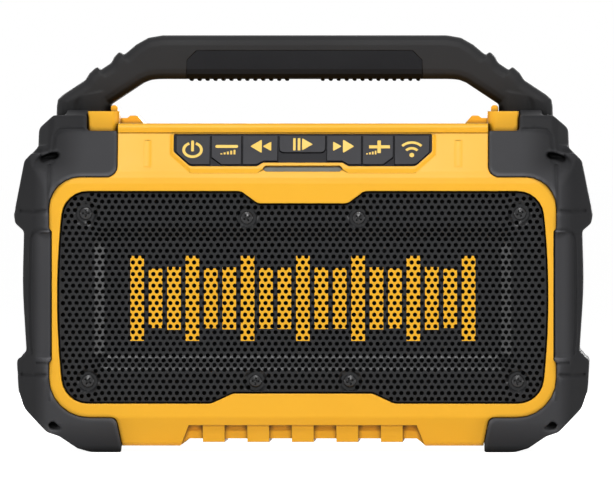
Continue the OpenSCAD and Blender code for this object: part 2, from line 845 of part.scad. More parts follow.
module handle_bar() {
    line = handle_line();
    n = len(line);
    right = [for (i = [0:n - 1]) handle_ring(line, i)];
    left = [for (i = [n - 1:-1:1]) [for (q = right[i]) [-q[0], q[1], q[2]]]];
    rings = concat(left, right);
    m = len(rings[0]);
    last = len(rings) - 1;
    polyhedron(
        points = [for (r = rings) each r],
        faces = concat(
            [[for (j = [0:m - 1]) j]],
            [for (i = [0:last - 1], j = [0:m - 1])
                [i * m + j, (i + 1) * m + j, (i + 1) * m + (j + 1) % m, i * m + (j + 1) % m]],
            [[for (j = [m - 1:-1:0]) last * m + j]]
        )
    );
}

// Broad foot under the inner side of each leg
module handle_foot() {
    x = leg_x - foot_in;
    intersection() {
        along_y(-foot_half_y, foot_half_y) polygon([
            [x, shoulder_z], [leg_x, shoulder_z], [leg_x, knee_z + 3], [x, leg_under(x) + 6.5]
        ]);
        along_z(shoulder_z, knee_z + 20)
            polygon(rounded(box2(x, -foot_half_y, leg_x + 2, foot_half_y, 4.5)));
    }
}

// Room of the soft grip in the front view
function grip_pts(i) = rounded(both([
    [grip_l / 2 - i, grip_zc - grip_h],
    [grip_l / 2 - i, grip_line - 4.5],
    [grip_l / 2 - 4.5 - i, grip_line - i]
]));

// Bar that stays inside the soft grip
module grip_core(i) {
    along_x(-grip_l, grip_l) polygon(rounded(box2(
        -grip_d / 2 + grip_t + i, grip_zc - grip_h / 2 + grip_t + i,
        grip_d / 2 - grip_t - i, handle_z + 5, 2.5
    )));
}

module handle() {
    color("#2b2b2c") difference() {
        union() {
            handle_bar();
            mirrored() handle_foot();
        }
        difference() {
            along_y(-grip_d, grip_d) polygon(grip_pts(0));
            grip_core(0);
        }
        mirrored() for (y = [-8, 8]) {
            translate([leg_x, y, shoulder_z - 1]) cylinder(r = 2.55, h = 13, $fn = 24);
        }
    }
}

module handle_grip() {
    pitch = (grip_l / 2 - 10.2) / (grip_ribs - 1);
    color("#343436") union() {
        difference() {
            intersection() {
                along_x(-grip_l, grip_l) polygon(bar_section_at(grip_zc));
                along_y(-grip_d, grip_d) polygon(grip_pts(0.1));
            }
            grip_core(-0.02);
        }
        mirrored() for (k = [0:grip_ribs - 1]) {
            translate([8.2 + pitch * k, -grip_d / 2 + 5, grip_zc - grip_h / 2]) rotate([-90, 0, 0])
                cylinder(r = 0.9, h = grip_d - 10, $fn = 16);
        }
    }
}

function bar_section_at(z) = [
    for (q = bar_section(grip_d / 2, grip_h / 2, grip_h / 2, 4.5)) [q[0], z + q[1]]
];

module handle_screws() {
    color("#8d8f92") mirrored() for (y = [-8, 8]) {
        translate([leg_x, y, shoulder_z - wall - 3.5]) rotate([180, 0, 0]) screw(2.5, 17, 4.6, 3.2);
    }
}

// Grille and baffle

// Places of the perforation inside x0 to x1 and z0 to z1
function holes(x0, x1, z0, z1) =
    let (
        row = hole_pitch * sqrt(3) / 2,
        n = floor((z1 - z0) / row),
        m = floor((x1 - x0) / hole_pitch)
    )
    [
        for (j = [0:n], i = [0:m - j % 2])
            [(x0 + x1) / 2 + (i - (m - j % 2) / 2) * hole_pitch, (z0 + z1) / 2 + (j - n / 2) * row]
    ];

// True where a hole fits in the flange round the dish
function on_flange(p) =
    let (x = abs(p[0]), z = p[1], m = hole_d / 2 + 2.6)
    (x > dish_x + m - 1 || z > dish_z1 + m - 1 || z < dish_z0 - m + 1)
    && x < opening_w / 2 - opening_bow - m
    && z > opening_z0 + m && z < opening_z1 - m
    && (x > 28.1 + m || z < opening_z1 - 5.6 - m)
    && (x > 41.8 + m || z > opening_z0 + 4.6 + m)
    && x + abs(z - mid_z) < opening_w / 2 - opening_bow + opening_h / 2 - 7 - m * 1.4
    && min([for (s = grille_screw_at) norm([x, z] - s)]) > dimple_d / 2 + hole_d / 2 + 0.6;

// Sloping wall of the dish, profile drawn for the lower one and running over half length l
module dish_wall(l, z) {
    s = dish_slope;
    intersection() {
        along_x(-l, l) polygon([
            [grille_y, z],
            [grille_y + dish_depth, z + s],
            [grille_y + dish_depth + sheet_t, z + s],
            [grille_y + sheet_t, z]
        ]);
        along_y(grille_y - 1, grille_y + 9) polygon([[-l, z], [l, z], [l - s, z + s], [s - l, z + s]]);
    }
}

module dish_walls() {
    half = (dish_z1 - dish_z0) / 2;
    mid = (dish_z0 + dish_z1) / 2;
    translate([0, 0, mid]) {
        dish_wall(dish_x, -half);
        rotate([0, 180, 0]) dish_wall(dish_x, -half);
        rotate([0, 90, 0]) dish_wall(half, -dish_x);
        rotate([0, -90, 0]) dish_wall(half, -dish_x);
    }
}

module grille() {
    s = dish_slope;
    m = hole_d / 2 + 0.8;
    color("#3a3a3a") union() {
        along_y(grille_y, grille_y + sheet_t) difference() {
            polygon(opening_pts(0.4));
            translate([-dish_x, dish_z0]) square([2 * dish_x, dish_z1 - dish_z0]);
            for (p = holes(-opening_w / 2, opening_w / 2, opening_z0, opening_z1)) {
                if (on_flange(p)) {
                    translate(p) circle(d = hole_d, $fn = 24);
                }
            }
            for (p = grille_screw_at) {
                translate(p) circle(d = dimple_d, $fn = 32);
                translate([-p[0], p[1]]) circle(d = dimple_d, $fn = 32);
            }
        }
        along_y(grille_y, grille_y + 4) difference() {
            polygon(opening_pts(0.4));
            polygon(opening_pts(0.4 + sheet_t));
        }
        dish_walls();
        along_y(grille_y + dish_depth, grille_y + dish_depth + sheet_t) difference() {
            translate([s - dish_x, dish_z0 + s]) square([2 * (dish_x - s), dish_z1 - dish_z0 - 2 * s]);
            for (p = holes(s - dish_x + m, dish_x - s - m, dish_z0 + s + m, dish_z1 - s - m)) {
                translate(p) circle(d = hole_d, $fn = 24);
            }
        }
        mirrored() for (p = grille_screw_at) {
            translate([p[0], grille_y, p[1]]) rotate([-90, 0, 0]) rotate_extrude($fn = 32) polygon([
                [1.6, dimple_deep], [3.1, dimple_deep], [dimple_d / 2, 0], [dimple_d / 2, sheet_t],
                [3.5, dimple_deep + sheet_t], [1.6, dimple_deep + sheet_t]
            ]);
        }
    }
}

module grille_screws() {
    color("#2a2a2b") mirrored() for (p = grille_screw_at) {
        translate([p[0], grille_y + dimple_deep, p[1]]) rotate([90, 0, 0]) screw(1.4, 8, 2.9, 1.3);
    }
}

module baffle() {
    color("#232324") difference() {
        union() {
            along_y(baffle_y0, baffle_y1) polygon(rounded(box2(
                -core_x + wall + gap, opening_z0 - 5, core_x - wall - gap, opening_z1 + 5, 16
            )));
            mirrored() for (p = grille_screw_at) {
                rod_y(p[0], boss_y, p[1], 3.2, baffle_y0 - boss_y + 1);
            }
        }
        mirrored() {
            rod_y(driver_x, baffle_y0 - 1, driver_z, seat_r, baffle_t + 2);
            for (p = grille_screw_at) {
                rod_y(p[0], boss_y - 1, p[1], 1.45, 8);
            }
            for (a = [45:90:315]) {
                rod_y(driver_x + lug_r * cos(a), baffle_y1 - 3.6, driver_z + lug_r * sin(a), 1.3, 5);
            }
        }
        for (p = baffle_screw_at()) {
            rod_y(p[0], baffle_y0 - 1, p[1], 1.7, baffle_t + 2);
        }
    }
}

module baffle_screws() {
    color("#8d8f92") for (p = baffle_screw_at()) {
        translate([p[0], baffle_y1, p[1]]) rotate([-90, 0, 0]) screw(1.25, 9, 2.4, 1.6);
    }
}

// Drivers, local z from the baffle towards the rear

module at_driver(s) {
    translate([s * driver_x, baffle_y1, driver_z]) rotate([-90, 0, 0]) children();
}

// Profile drawn for a flange of 37 mm radius, widened or narrowed to the real one
function for_driver(p) = [for (q = p) [q[0] * driver_r / 37, q[1]]];

module basket() {
    difference() {
        union() {
            rotate_extrude($fn = 96) polygon(for_driver([
                [37, 0], [37, 2.5], [34, 2.5], [34, 6], [24, 20], [24, 22], [11.8, 22], [11.8, 20],
                [21.5, 20], [29, 8], [29, 1.6], [31, 1.6], [31, 0]
            ]));
            for (a = [45:90:315]) {
                rotate(a) translate([lug_r, 0, 0]) difference() {
                    cylinder(r = 4.2, h = 2.5, $fn = 32);
                    translate([-9, -5, -1]) cube([5, 10, 5]);
                }
            }
        }
        for (a = [0:60:300]) {
            rotate(a) translate([20, 0, 13]) rotate([0, 90, 0]) cylinder(r = 4.6, h = 20, $fn = 32);
        }
        for (a = [45:90:315]) {
            rotate(a) translate([lug_r, 0, -1]) cylinder(r = 1.6, h = 5, $fn = 24);
        }
    }
}

module magnet() {
    rotate_extrude($fn = 96) polygon(for_driver([
        [0, 22.5], [9.3, 22.5], [9.3, 35], [14, 35], [14, 26], [11.2, 26], [11.2, 22], [22, 22], [22, 26],
        [25, 26], [25, 35], [22, 35], [22, 39], [0, 39]
    ]));
}

module surround() {
    roll = [for (a = [0:15:180]) [25.7 + 2.5 * cos(a), 0.8 - 2.6 * sin(a)]];
    under = [for (a = [180:-15:0]) [25.7 + 1.9 * cos(a), 1.4 - 2.5 * sin(a)]];
    rotate_extrude($fn = 96) polygon(for_driver(concat(
        [[30.8, 1.6], [30.8, 0.8]], roll, [[21.9, 0.8], [21.9, 1.4]], under, [[27.8, 1.6]]
    )));
}

module cone() {
    rotate_extrude($fn = 96) polygon(for_driver([
        [0, 5.5], [5, 6], [10, 8.8], [21, 1.4], [23.4, 1.4], [23.4, 2], [21.4, 2.2], [10.8, 10], [10.5, 10.6],
        [10.5, 29], [9.9, 29], [9.9, 10], [5, 7], [0, 6.5]
    ]));
}

module left_basket() {
    color("#3b3d40") at_driver(-1) basket();
}

module right_basket() {
    color("#3b3d40") at_driver(1) basket();
}

module left_magnet() {
    color("#55565a") at_driver(-1) magnet();
}

module right_magnet() {
    color("#55565a") at_driver(1) magnet();
}

module left_surround() {
    color("#1a1a1b") at_driver(-1) surround();
}

module right_surround() {
    color("#1a1a1b") at_driver(1) surround();
}

module left_cone() {
    color("#262627") at_driver(-1) cone();
}

module right_cone() {
    color("#262627") at_driver(1) cone();
}

module driver_screws() {
    color("#8d8f92") for (s = [-1, 1], a = [45:90:315]) {
        at_driver(s) rotate(a) translate([lug_r, 0, 2.5]) screw(1.25, 6, 2.6, 1.8);
    }
}

// Keypad

// Room of key k between its ribs and inside the rim of the keypad frame
module key_2d(k, i) {
    x0 = key_edge[k] + key_rib / 2 + i;
    x1 = key_edge[k + 1] - key_rib / 2 - i;
    low = keypad_v0 + key_low[k] + i;
    bottom = k == 1 ? [[x0, low + 3.9, 1], [x0 + 4.9, low, 1], [x1, low, 1]]
        : k == 5 ? [[x0, low, 1], [x1 - 4.9, low, 1], [x1, low + 3.9, 1]]
        : [[x0, low, key_r[k]], [x1, low, key_r[k]]];
    intersection() {
        polygon(keypad_pts(0.9 + i));
        polygon(rounded(concat(bottom, [[x1, keypad_v1 + 5, 0], [x0, keypad_v1 + 5, 0]])));
    }
}

module key(k) {
    color("#4a4a4e") on_panel() union() {
        translate([0, 0, key_back + skirt_t - 0.1]) linear_extrude(key_top - key_back - skirt_t + 0.1)
            key_2d(k, key_gap);
        translate([0, 0, key_back]) linear_extrude(skirt_t) key_2d(k, -0.15);
    }
}

module keypad_frame() {
    color("#3c3c40") on_panel() difference() {
        union() {
            translate([0, 0, frame_back]) linear_extrude(frame_top - frame_back) polygon(keypad_pts(0));
            translate([0, 0, frame_back]) linear_extrude(-panel_t - frame_back) mirrored()
                translate([keypad_w / 2 - 3, keypad_v0 + 7.5]) square([6, 6]);
        }
        for (k = [0:6]) {
            translate([0, 0, frame_back - 1]) linear_extrude(10) key_2d(k, 0);
        }
    }
}

module power_key() {
    key(0);
}

module volume_down_key() {
    key(1);
}

module rewind_key() {
    key(2);
}

module play_key() {
    key(3);
}

module forward_key() {
    key(4);
}

module volume_up_key() {
    key(5);
}

module pairing_key() {
    key(6);
}

module keypad_board() {
    v = (keypad_v0 + keypad_v1) / 2;
    color("#1f5a3a") on_panel(board_front - board_t) union() {
        difference() {
            translate([-board_screw_x - 4, v - 6, 0]) cube([2 * board_screw_x + 8, 12, board_t]);
            for (s = [-1, 1]) {
                translate([s * board_screw_x, v, -1]) cylinder(r = 1.6, h = 5, $fn = 24);
            }
        }
        for (k = [0:6]) {
            translate([(key_edge[k] + key_edge[k + 1]) / 2, v, board_t]) {
                translate([-3, -3, -0.1]) cube([6, 6, 2.1]);
                cylinder(r = 1.7, h = switch_top - board_front, $fn = 24);
            }
        }
    }
}

module keypad_screws() {
    color("#8d8f92") on_panel(board_front - board_t) for (s = [-1, 1]) {
        translate([s * board_screw_x, (keypad_v0 + keypad_v1) / 2, 0]) rotate([180, 0, 0])
            screw(1.25, 6, 2.6, 1.6);
    }
}

module indicator_lens() {
    color("#9a9a9c") on_panel() {
        translate([0, 0, -panel_t]) linear_extrude(panel_t - 0.2) polygon(lens_pts(0));
        translate([0, 0, -panel_t - 1.4]) linear_extrude(1.4) polygon(lens_pts(-0.7));
    }
}

// Boards

module main_board() {
    y = board_y;
    x = bay_w / 2 + 18;
    z0 = bay_z0 + 6;
    z1 = panel_z0 - 14;
    color("#1f5a3a") union() {
        difference() {
            block(-x, y, z0, x, y + board_t, z1);
            mirrored() for (z = board_screw_z()) {
                rod_y(bay_w / 2 - 4, y - 1, z, 1.7, 4);
            }
        }
        for (k = [0:3]) {
            rod_y(-x + 9 + 11 * k, y + board_t - 0.5, z1 - 22, 4, 6);
        }
        block(x - 24, y + board_t - 0.1, z0 + 30, x - 8, y + board_t + 6, z0 + 46);
        block(-12, y + board_t - 0.1, z0 + 8, 12, y + board_t + 2, z0 + 24);
    }
}

module heat_sink() {
    y = board_y + board_t;
    color("#b4b7ba") union() {
        block(-26, y, mid_z - 10, 26, y + 2, mid_z + 12);
        for (k = [0:9]) {
            block(-26 + k * 5.6, y + 1, mid_z - 10, -24.4 + k * 5.6, y + 6.5, mid_z + 12);
        }
    }
}

module board_screws() {
    color("#8d8f92") mirrored() for (z = board_screw_z()) {
        translate([bay_w / 2 - 4, board_y, z]) rotate([90, 0, 0]) screw(1.25, 7, 2.6, 1.6);
    }
}

// Battery dock

module battery_dock() {
    x = bay_w / 2 - 6;
    color("#1d1d1e") union() {
        block(-x, bay_y, bay_z0 + 4, x, bay_y + dock_t, panel_z0);
        mirrored() along_z(bay_z0 + 4, panel_z0) polygon([
            [x - 9, bay_y + 1], [x - 9, bay_y + 10], [x - 14, bay_y + 10],
            [x - 14, bay_y + 12.5], [x - 6, bay_y + 12.5], [x - 6, bay_y + 1]
        ]);
        block(-15, bay_y + 1, bay_z0 + 4, 15, bay_y + 9, bay_z0 + 18);
    }
}

module battery_terminals() {
    color("#c9a24a") for (k = [-2:2]) {
        block(k * 5.6 - 0.5, bay_y + dock_t + 1, bay_z0 + 18,
            k * 5.6 + 0.5, bay_y + dock_t + 5.4, bay_z0 + 28);
    }
}

// Ports

module aux_jack() {
    color("#2f2f31") translate([aux_x, port_floor, port_z + 1]) rotate([-90, 0, 0]) rotate_extrude($fn = 48)
        polygon([
            [aux_bore / 2, 0.6], [4, 0.6], [4, -wall], [5.6, -wall], [5.6, -wall - 10], [0, -wall - 10],
            [0, -wall - 9], [aux_bore / 2, -wall - 9]
        ]);
}

module power_jack() {
    color("#2f2f31") translate([power_x, port_floor, port_z + 1]) rotate([-90, 0, 0]) rotate_extrude($fn = 48)
        polygon([
            [2.9, 0.6], [5.5, 0.6], [5.5, -wall], [7, -wall], [7, -wall - 9], [0, -wall - 9],
            [0, -0.5], [1, -0.5], [1, -wall - 8], [2.9, -wall - 8]
        ]);
}

module port_cover() {
    w = port_w / 2 - 0.5;
    z1 = port_z + port_h / 2 - 0.4;
    y1 = y_rear - 0.4;
    color("#2a2a2b") difference() {
        union() {
            along_x(port_x - w, port_x + w) polygon(rounded([
                [y1 - cover_t, pin_z, 0], [y1, pin_z, 0], [y1, z1, 0.6], [y1 - cover_t, z1, 0.4]
            ]));
            translate([port_x - w, pin_y, pin_z]) rotate([0, 90, 0]) cylinder(r = 2.2, h = 2 * w, $fn = 48);
            block(port_x - 7, y1 - 1, z1 - 2.2, port_x + 7, y1 + 0.9, z1 - 0.2);
        }
        translate([port_x - port_w, pin_y, pin_z]) rotate([0, 90, 0])
            cylinder(r = pin_r + 0.05, h = 2 * port_w, $fn = 32);
    }
}

module port_cover_pin() {
    color("#9b9da0") translate([port_x - port_w / 2 - 1.8, pin_y, pin_z]) rotate([0, 90, 0])
        cylinder(r = pin_r, h = port_w + 3.6, $fn = 32);
}

front_housing();
rear_housing();
housing_seal();
housing_screws();
left_bumper();
right_bumper();
handle();
handle_grip();
handle_screws();
grille();
grille_screws();
baffle();
baffle_screws();
left_basket();
right_basket();
left_magnet();
right_magnet();
left_surround();
right_surround();
left_cone();
right_cone();
driver_screws();
keypad_frame();
power_key();
volume_down_key();
rewind_key();
play_key();
forward_key();
volume_up_key();
pairing_key();
keypad_board();
keypad_screws();
indicator_lens();
main_board();
heat_sink();
board_screws();
battery_dock();
battery_terminals();
aux_jack();
power_jack();
port_cover();
port_cover_pin();
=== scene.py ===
# %% [markdown]
# # A jobsite speaker, dressed for the camera
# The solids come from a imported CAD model: housings, bumpers, handle, grille, drivers and keys, each a node
# on a body that may move. This lesson keeps those solids as the frame, gives each a finish, and makes new
# meshes only for the pieces whose look the solids can't give: soft rubber, finely perforated steel, screw
# heads and printed symbols.

# %% Load the frame
import bpy
import bmesh
import json
import math
import numpy as np
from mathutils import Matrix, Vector
from mathutils.geometry import delaunay_2d_cdt


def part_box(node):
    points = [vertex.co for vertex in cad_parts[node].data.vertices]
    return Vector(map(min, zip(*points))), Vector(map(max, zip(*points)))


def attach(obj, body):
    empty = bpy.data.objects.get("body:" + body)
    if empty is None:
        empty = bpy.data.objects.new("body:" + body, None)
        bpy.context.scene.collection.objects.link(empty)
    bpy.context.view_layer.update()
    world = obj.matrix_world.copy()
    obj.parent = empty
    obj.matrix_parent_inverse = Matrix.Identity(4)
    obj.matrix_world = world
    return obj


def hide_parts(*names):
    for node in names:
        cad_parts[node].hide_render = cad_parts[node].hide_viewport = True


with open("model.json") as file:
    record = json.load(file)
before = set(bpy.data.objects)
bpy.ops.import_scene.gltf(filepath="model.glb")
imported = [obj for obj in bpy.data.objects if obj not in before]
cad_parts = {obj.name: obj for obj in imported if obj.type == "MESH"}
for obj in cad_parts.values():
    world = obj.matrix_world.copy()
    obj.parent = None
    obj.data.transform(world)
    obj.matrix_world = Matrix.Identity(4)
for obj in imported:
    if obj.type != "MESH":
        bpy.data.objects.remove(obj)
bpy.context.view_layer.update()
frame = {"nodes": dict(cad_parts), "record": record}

scene = bpy.context.scene
nodes = frame["nodes"]

# %% [markdown]
# ## Two helpers for every material
# Colours are written as sRGB hex values, as a colour picker shows them, but Blender's shaders want linear
# light. One function turns the one into the other. A second one adds a shader node, with its settings and
# its links, so that a material reads as a short list of nodes. A Mix node has sockets for numbers, vectors
# and colours under the same names, so those for colours are called by their place.


# %% Colour and node helpers
def linear(hex_colour):
    channels = [int(hex_colour[i:i + 2], 16) / 255 for i in (1, 3, 5)]
    return [c / 12.92 if c <= 0.04045 else ((c + 0.055) / 1.055) ** 2.4 for c in channels] + [1.0]


def add(tree, kind, inputs=None, **settings):
    node = tree.nodes.new(kind)
    for name, value in settings.items():
        setattr(node, name, value)
    for socket, value in (inputs or {}).items():
        if isinstance(value, bpy.types.NodeSocket):
            tree.links.new(value, node.inputs[socket])
        else:
            node.inputs[socket].default_value = value
    return node


MIX_A, MIX_B, MIXED = 6, 7, 2
WHITE = linear("#ffffff")
print("yellow in linear light:", [round(c, 3) for c in linear("#fdbb2b")])

# %% [markdown]
# ## One recipe for moulded and coated surfaces
# A moulded part copies the grain that was etched or spark-eroded into its mould, and it is never one flat
# colour: pigment and gloss drift a little over some centimetres. The recipe mixes two near colours with a
# slow noise, lets the gloss drift with it, and presses a fine noise into the surface as grain. A Bevel node
# rounds the shading of sharp edges by the small radius that any mould leaves, which catches the light as on
# the real part. Where light hardly gets in, shade is painted into the colour: an ambient occlusion node finds
# such crevices, and they are tinted dark as painted shade. The true grain is a tenth of a millimetre, finer
# than a pixel here, so it is drawn coarser to show at all.

# %% Surface recipe
NOISE_LOW, NOISE_HIGH = 0.3, 0.7
SHUT, OPEN = 0.35, 0.85
EDGE_SAMPLES, CREVICE_SAMPLES = 4, 8


def surface(name, colours, patch_mm, gloss, grain_mm, grain_depth_mm, edge_mm, crevice=None, **constants):
    material = bpy.data.materials.new(name)
    material.use_nodes = True
    tree = material.node_tree
    shader = tree.nodes["Principled BSDF"]
    place = add(tree, "ShaderNodeTexCoord").outputs["Object"]
    drift = add(tree, "ShaderNodeTexNoise", {"Vector": place, "Scale": 1000 / patch_mm, "Detail": 3.0})
    colour = add(tree, "ShaderNodeMix", {
        "Factor": drift.outputs["Fac"], MIX_A: linear(colours[0]), MIX_B: linear(colours[1]),
    }, data_type="RGBA").outputs[MIXED]
    rough = add(tree, "ShaderNodeMapRange", {
        "Value": drift.outputs["Fac"], "From Min": NOISE_LOW, "From Max": NOISE_HIGH,
        "To Min": gloss[0], "To Max": gloss[1],
    })
    grain = add(tree, "ShaderNodeTexNoise", {"Vector": place, "Scale": 1000 / grain_mm, "Detail": 2.0})
    edge = add(tree, "ShaderNodeBevel", {"Radius": edge_mm / 1000}, samples=EDGE_SAMPLES)
    bump = add(tree, "ShaderNodeBump", {
        "Height": grain.outputs["Fac"], "Distance": grain_depth_mm / 1000, "Normal": edge.outputs["Normal"],
    })
    # Painted shade: where little of the sky is open, the base colour is mixed towards a dark tint.
    if crevice:
        reach_mm, shade = crevice
        sky = add(tree, "ShaderNodeAmbientOcclusion", {"Distance": reach_mm / 1000}, samples=CREVICE_SAMPLES)
        light = add(tree, "ShaderNodeMapRange", {
            "Value": sky.outputs["AO"], "From Min": SHUT, "From Max": OPEN,
        })
        colour = add(tree, "ShaderNodeMix", {
            "Factor": light.outputs["Result"], MIX_A: linear(shade), MIX_B: colour,
        }, data_type="RGBA").outputs[MIXED]
    tree.links.new(colour, shader.inputs["Base Color"])
    tree.links.new(rough.outputs["Result"], shader.inputs["Roughness"])
    tree.links.new(bump.outputs["Normal"], shader.inputs["Normal"])
    for socket, value in constants.items():
        shader.inputs[socket.replace("_", " ")].default_value = value
    return material


print("a crevice is dark where less than", SHUT, "of the sky is open")

# %% [markdown]
# ## The plastics and rubbers
# ABS (IOR 1.53) is the tough plastic of tool housings; its satin comes from a fine spark-eroded mould. The
# handle's ABS is filled with glass fibre, which makes it a little duller. The bumpers and the grip are TPE,
# a rubber that is moulded like plastic: duller still, with a slightly coarser skin. The keys are silicone,
# the driver's edge is butyl rubber, and the cones are pressed paper pulp, which shows its fibres.

# %% Plastics and rubbers
# The last pair, reach in mm and dark tint, is painted shade in crevices, and under the handle and grip.
SATIN = {"IOR": 1.53, "Specular_IOR_Level": 0.25}
DULL = {"IOR": 1.5, "Specular_IOR_Level": 0.08}
yellow_abs = surface("moulded_yellow_abs", ("#fdbd30", "#f9b528"), 45, (0.34, 0.44), 1.1, 0.010, 0.8,
                     (3, "#4a2f0a"), **SATIN)
black_abs = surface("moulded_black_abs", ("#323233", "#2d2d2e"), 40, (0.42, 0.52), 1.0, 0.014, 0.6,
                    (4, "#0a0a0a"), **DULL)
handle_abs = surface("glass_filled_black_abs", ("#323233", "#2d2d2e"), 40, (0.44, 0.54), 1.0, 0.018, 0.6,
                     (30, "#0c0c0c"), **DULL)
bumper_tpe = surface("moulded_bumper_tpe", ("#444446", "#3e3e40"), 35, (0.54, 0.66), 1.3, 0.020, 0.8,
                     (4, "#0a0a0a"), **DULL)
grip_tpe = surface("soft_touch_grip_tpe", ("#27282b", "#212225"), 30, (0.56, 0.68), 1.2, 0.024, 0.5,
                   (60, "#0a0a0a"), **DULL)
key_silicone = surface("moulded_silicone_keys", ("#434346", "#3e3e41"), 18, (0.46, 0.56), 1.0, 0.010, 0.35,
                       (0.8, "#0c0c0c"), **DULL)
frame_abs = surface("moulded_dark_grey_abs", ("#2c2c2f", "#262629"), 20, (0.44, 0.54), 1.0, 0.010, 0.3,
                    **DULL)
baffle_abs = surface("moulded_matt_black_abs", ("#131314", "#0e0e0f"), 30, (0.62, 0.74), 1.0, 0.020, 0.4,
                     **DULL)
butyl = surface("moulded_butyl_rubber", ("#18181a", "#121214"), 12, (0.42, 0.54), 0.9, 0.010, 0.2, **DULL)
seal_foam = surface("extruded_seal_rubber", ("#18181a", "#121214"), 10, (0.68, 0.80), 0.8, 0.020, 0.2,
                    **DULL)
cone_pulp = surface("pressed_paper_pulp", ("#222224", "#1a1a1c"), 4, (0.70, 0.85), 0.7, 0.050, 0.2, **DULL)
yellow_ink = surface("pad_printed_yellow_ink", ("#fbd468", "#f5c957"), 6, (0.38, 0.50), 0.8, 0.006, 0.05,
                     **SATIN)
print("moulded and printed surfaces:", len(bpy.data.materials))

# %% [markdown]
# ## Painted shade and highlights on the bumpers
# The bumper's colour is painted darker on its flanks, shoulder, top and underside, as painted shade where
# they turn away from the front. Slow ramps say where the painted shade lies, so that it has no edge, and the
# crown of the long rail at the side is painted paler again, as a painted highlight. A ramp goes from 0 to 1
# between two places in millimetres, across from the middle or up from the floor. Rounded outer edges get the
# most painted highlight: rays sent into the rubber soon come out there, so an inward ambient occlusion finds
# them.

# %% Ramps over the bumpers
tree = bumper_tpe.node_tree
axes = add(tree, "ShaderNodeSeparateXYZ", {"Vector": add(tree, "ShaderNodeTexCoord").outputs["Object"]})
up = axes.outputs["Z"]
across = add(tree, "ShaderNodeMath", {0: axes.outputs["X"]}, operation="ABSOLUTE").outputs[0]
RAMPS = {
    "flank": (across, 114, 124), "top": (up, 145.5, 148.5), "underside": (up, 14, 0),
    "shoulder side": (across, 98, 113), "shoulder height": (up, 122, 134),
    "crown inner": (across, 111.5, 117.5), "crown outer": (across, 124, 120),
    "crown foot": (up, 40, 44), "crown head": (up, 101, 98),
}
where = {}
for name, (along, start, end) in RAMPS.items():
    where[name] = add(tree, "ShaderNodeMapRange", {
        "Value": along, "From Min": start / 1000, "From Max": end / 1000,
    }, interpolation_type="SMOOTHSTEP").outputs["Result"]
print("ramps over the bumpers:", len(where))

# %% Painted shade and highlights on the bumpers
# A grey tint for painted shade, a lighter share on the rail's crown and 2.4 times on rounded edges as painted
# highlight.
SIDE_PAINTED_SHADE, CROWN_PAINTED_HIGHLIGHT = linear("#b6b6b6"), 0.5
EDGE_PAINTED_HIGHLIGHT, EDGE_REACH, EDGE_FLAT, EDGE_ROUND = (2.4, 2.4, 2.4, 1.0), 0.0025, 0.85, 0.45
for made, operation, names in (
    ("shoulder", "MULTIPLY", ("shoulder side", "shoulder height")),
    ("crown", "MULTIPLY", ("crown inner", "crown outer", "crown foot", "crown head")),
    ("painted_shade_share", "MAXIMUM", ("flank", "shoulder", "top", "underside")),
):
    where[made] = where[names[0]]
    for name in names[1:]:
        where[made] = add(tree, "ShaderNodeMath", {
            0: where[made], 1: where[name]}, operation=operation).outputs[0]
# The share below marks painted shade; the rail's crown gets less of it, as a painted highlight.
painted_shade_share = add(tree, "ShaderNodeMath", {
    0: where["crown"], 1: -CROWN_PAINTED_HIGHLIGHT, 2: where["painted_shade_share"]}, operation="MULTIPLY_ADD").outputs[0]
inner = add(tree, "ShaderNodeAmbientOcclusion", {"Distance": EDGE_REACH},
            samples=CREVICE_SAMPLES, inside=True, only_local=True)
edge = add(tree, "ShaderNodeMapRange", {
    "Value": inner.outputs["AO"], "From Min": EDGE_FLAT, "From Max": EDGE_ROUND}).outputs["Result"]
shader = tree.nodes["Principled BSDF"]
colour = shader.inputs["Base Color"].links[0].from_socket
# Both tints multiply the base colour: the grey one paints shade, the 2.4 one a highlight on rounded edges.
for share, rubber in ((painted_shade_share, SIDE_PAINTED_SHADE), (edge, EDGE_PAINTED_HIGHLIGHT)):
    tint = add(tree, "ShaderNodeMix", {"Factor": share, MIX_A: WHITE, MIX_B: rubber}, data_type="RGBA")
    colour = add(tree, "ShaderNodeMix", {
        "Factor": 1.0, MIX_A: colour, MIX_B: tint.outputs[MIXED],
    }, data_type="RGBA", blend_type="MULTIPLY").outputs[MIXED]
tree.links.new(colour, shader.inputs["Base Color"])
print("nodes in the bumper's finish:", len(tree.nodes))

# %% [markdown]
# ## The metals
# Screws are zinc plated or dipped in black lacquer, the heat sink is bare extruded aluminium and the battery
# contacts are brass. A metal colours its own reflections, so its base colour is the colour of the highlight.
# The same recipe serves, with metallic at 1 and the default IOR; the grain stands for plating crystals or
# die lines. Lacquer and paint hide the metal, so those two are shaded as coats, and ferrite, the ceramic of
# the magnets, has only a faint metallic sheen.

# %% Metals
zinc = surface("bright_zinc_plating", ("#c3c6ca", "#aeb2b8"), 5, (0.24, 0.36), 0.7, 0.006, 0.15,
               Metallic=1.0)
# The black lacquer's last pair tints the cross recess near black as painted shade.
black_coat = surface("black_dipped_steel", ("#1c1c1e", "#141416"), 4, (0.20, 0.28), 0.6, 0.006, 0.2,
                     (0.8, "#030303"), IOR=1.5, Specular_IOR_Level=0.4)
basket_coat = surface("dip_painted_steel", ("#2b2d30", "#232528"), 12, (0.34, 0.46), 1.0, 0.010, 0.3,
                      IOR=1.5)
ferrite = surface("sintered_ferrite", ("#55565a", "#494a4e"), 8, (0.50, 0.64), 0.8, 0.020, 0.3,
                  Metallic=0.3)
aluminium = surface("bare_extruded_aluminium", ("#d0d2d5", "#bfc2c6"), 9, (0.28, 0.42), 0.6, 0.012, 0.2,
                    Metallic=1.0)
brass = surface("stamped_contact_brass", ("#d8b25a", "#c79f48"), 6, (0.20, 0.32), 0.6, 0.005, 0.15,
                Metallic=1.0)
print("metals done, materials:", len(bpy.data.materials))

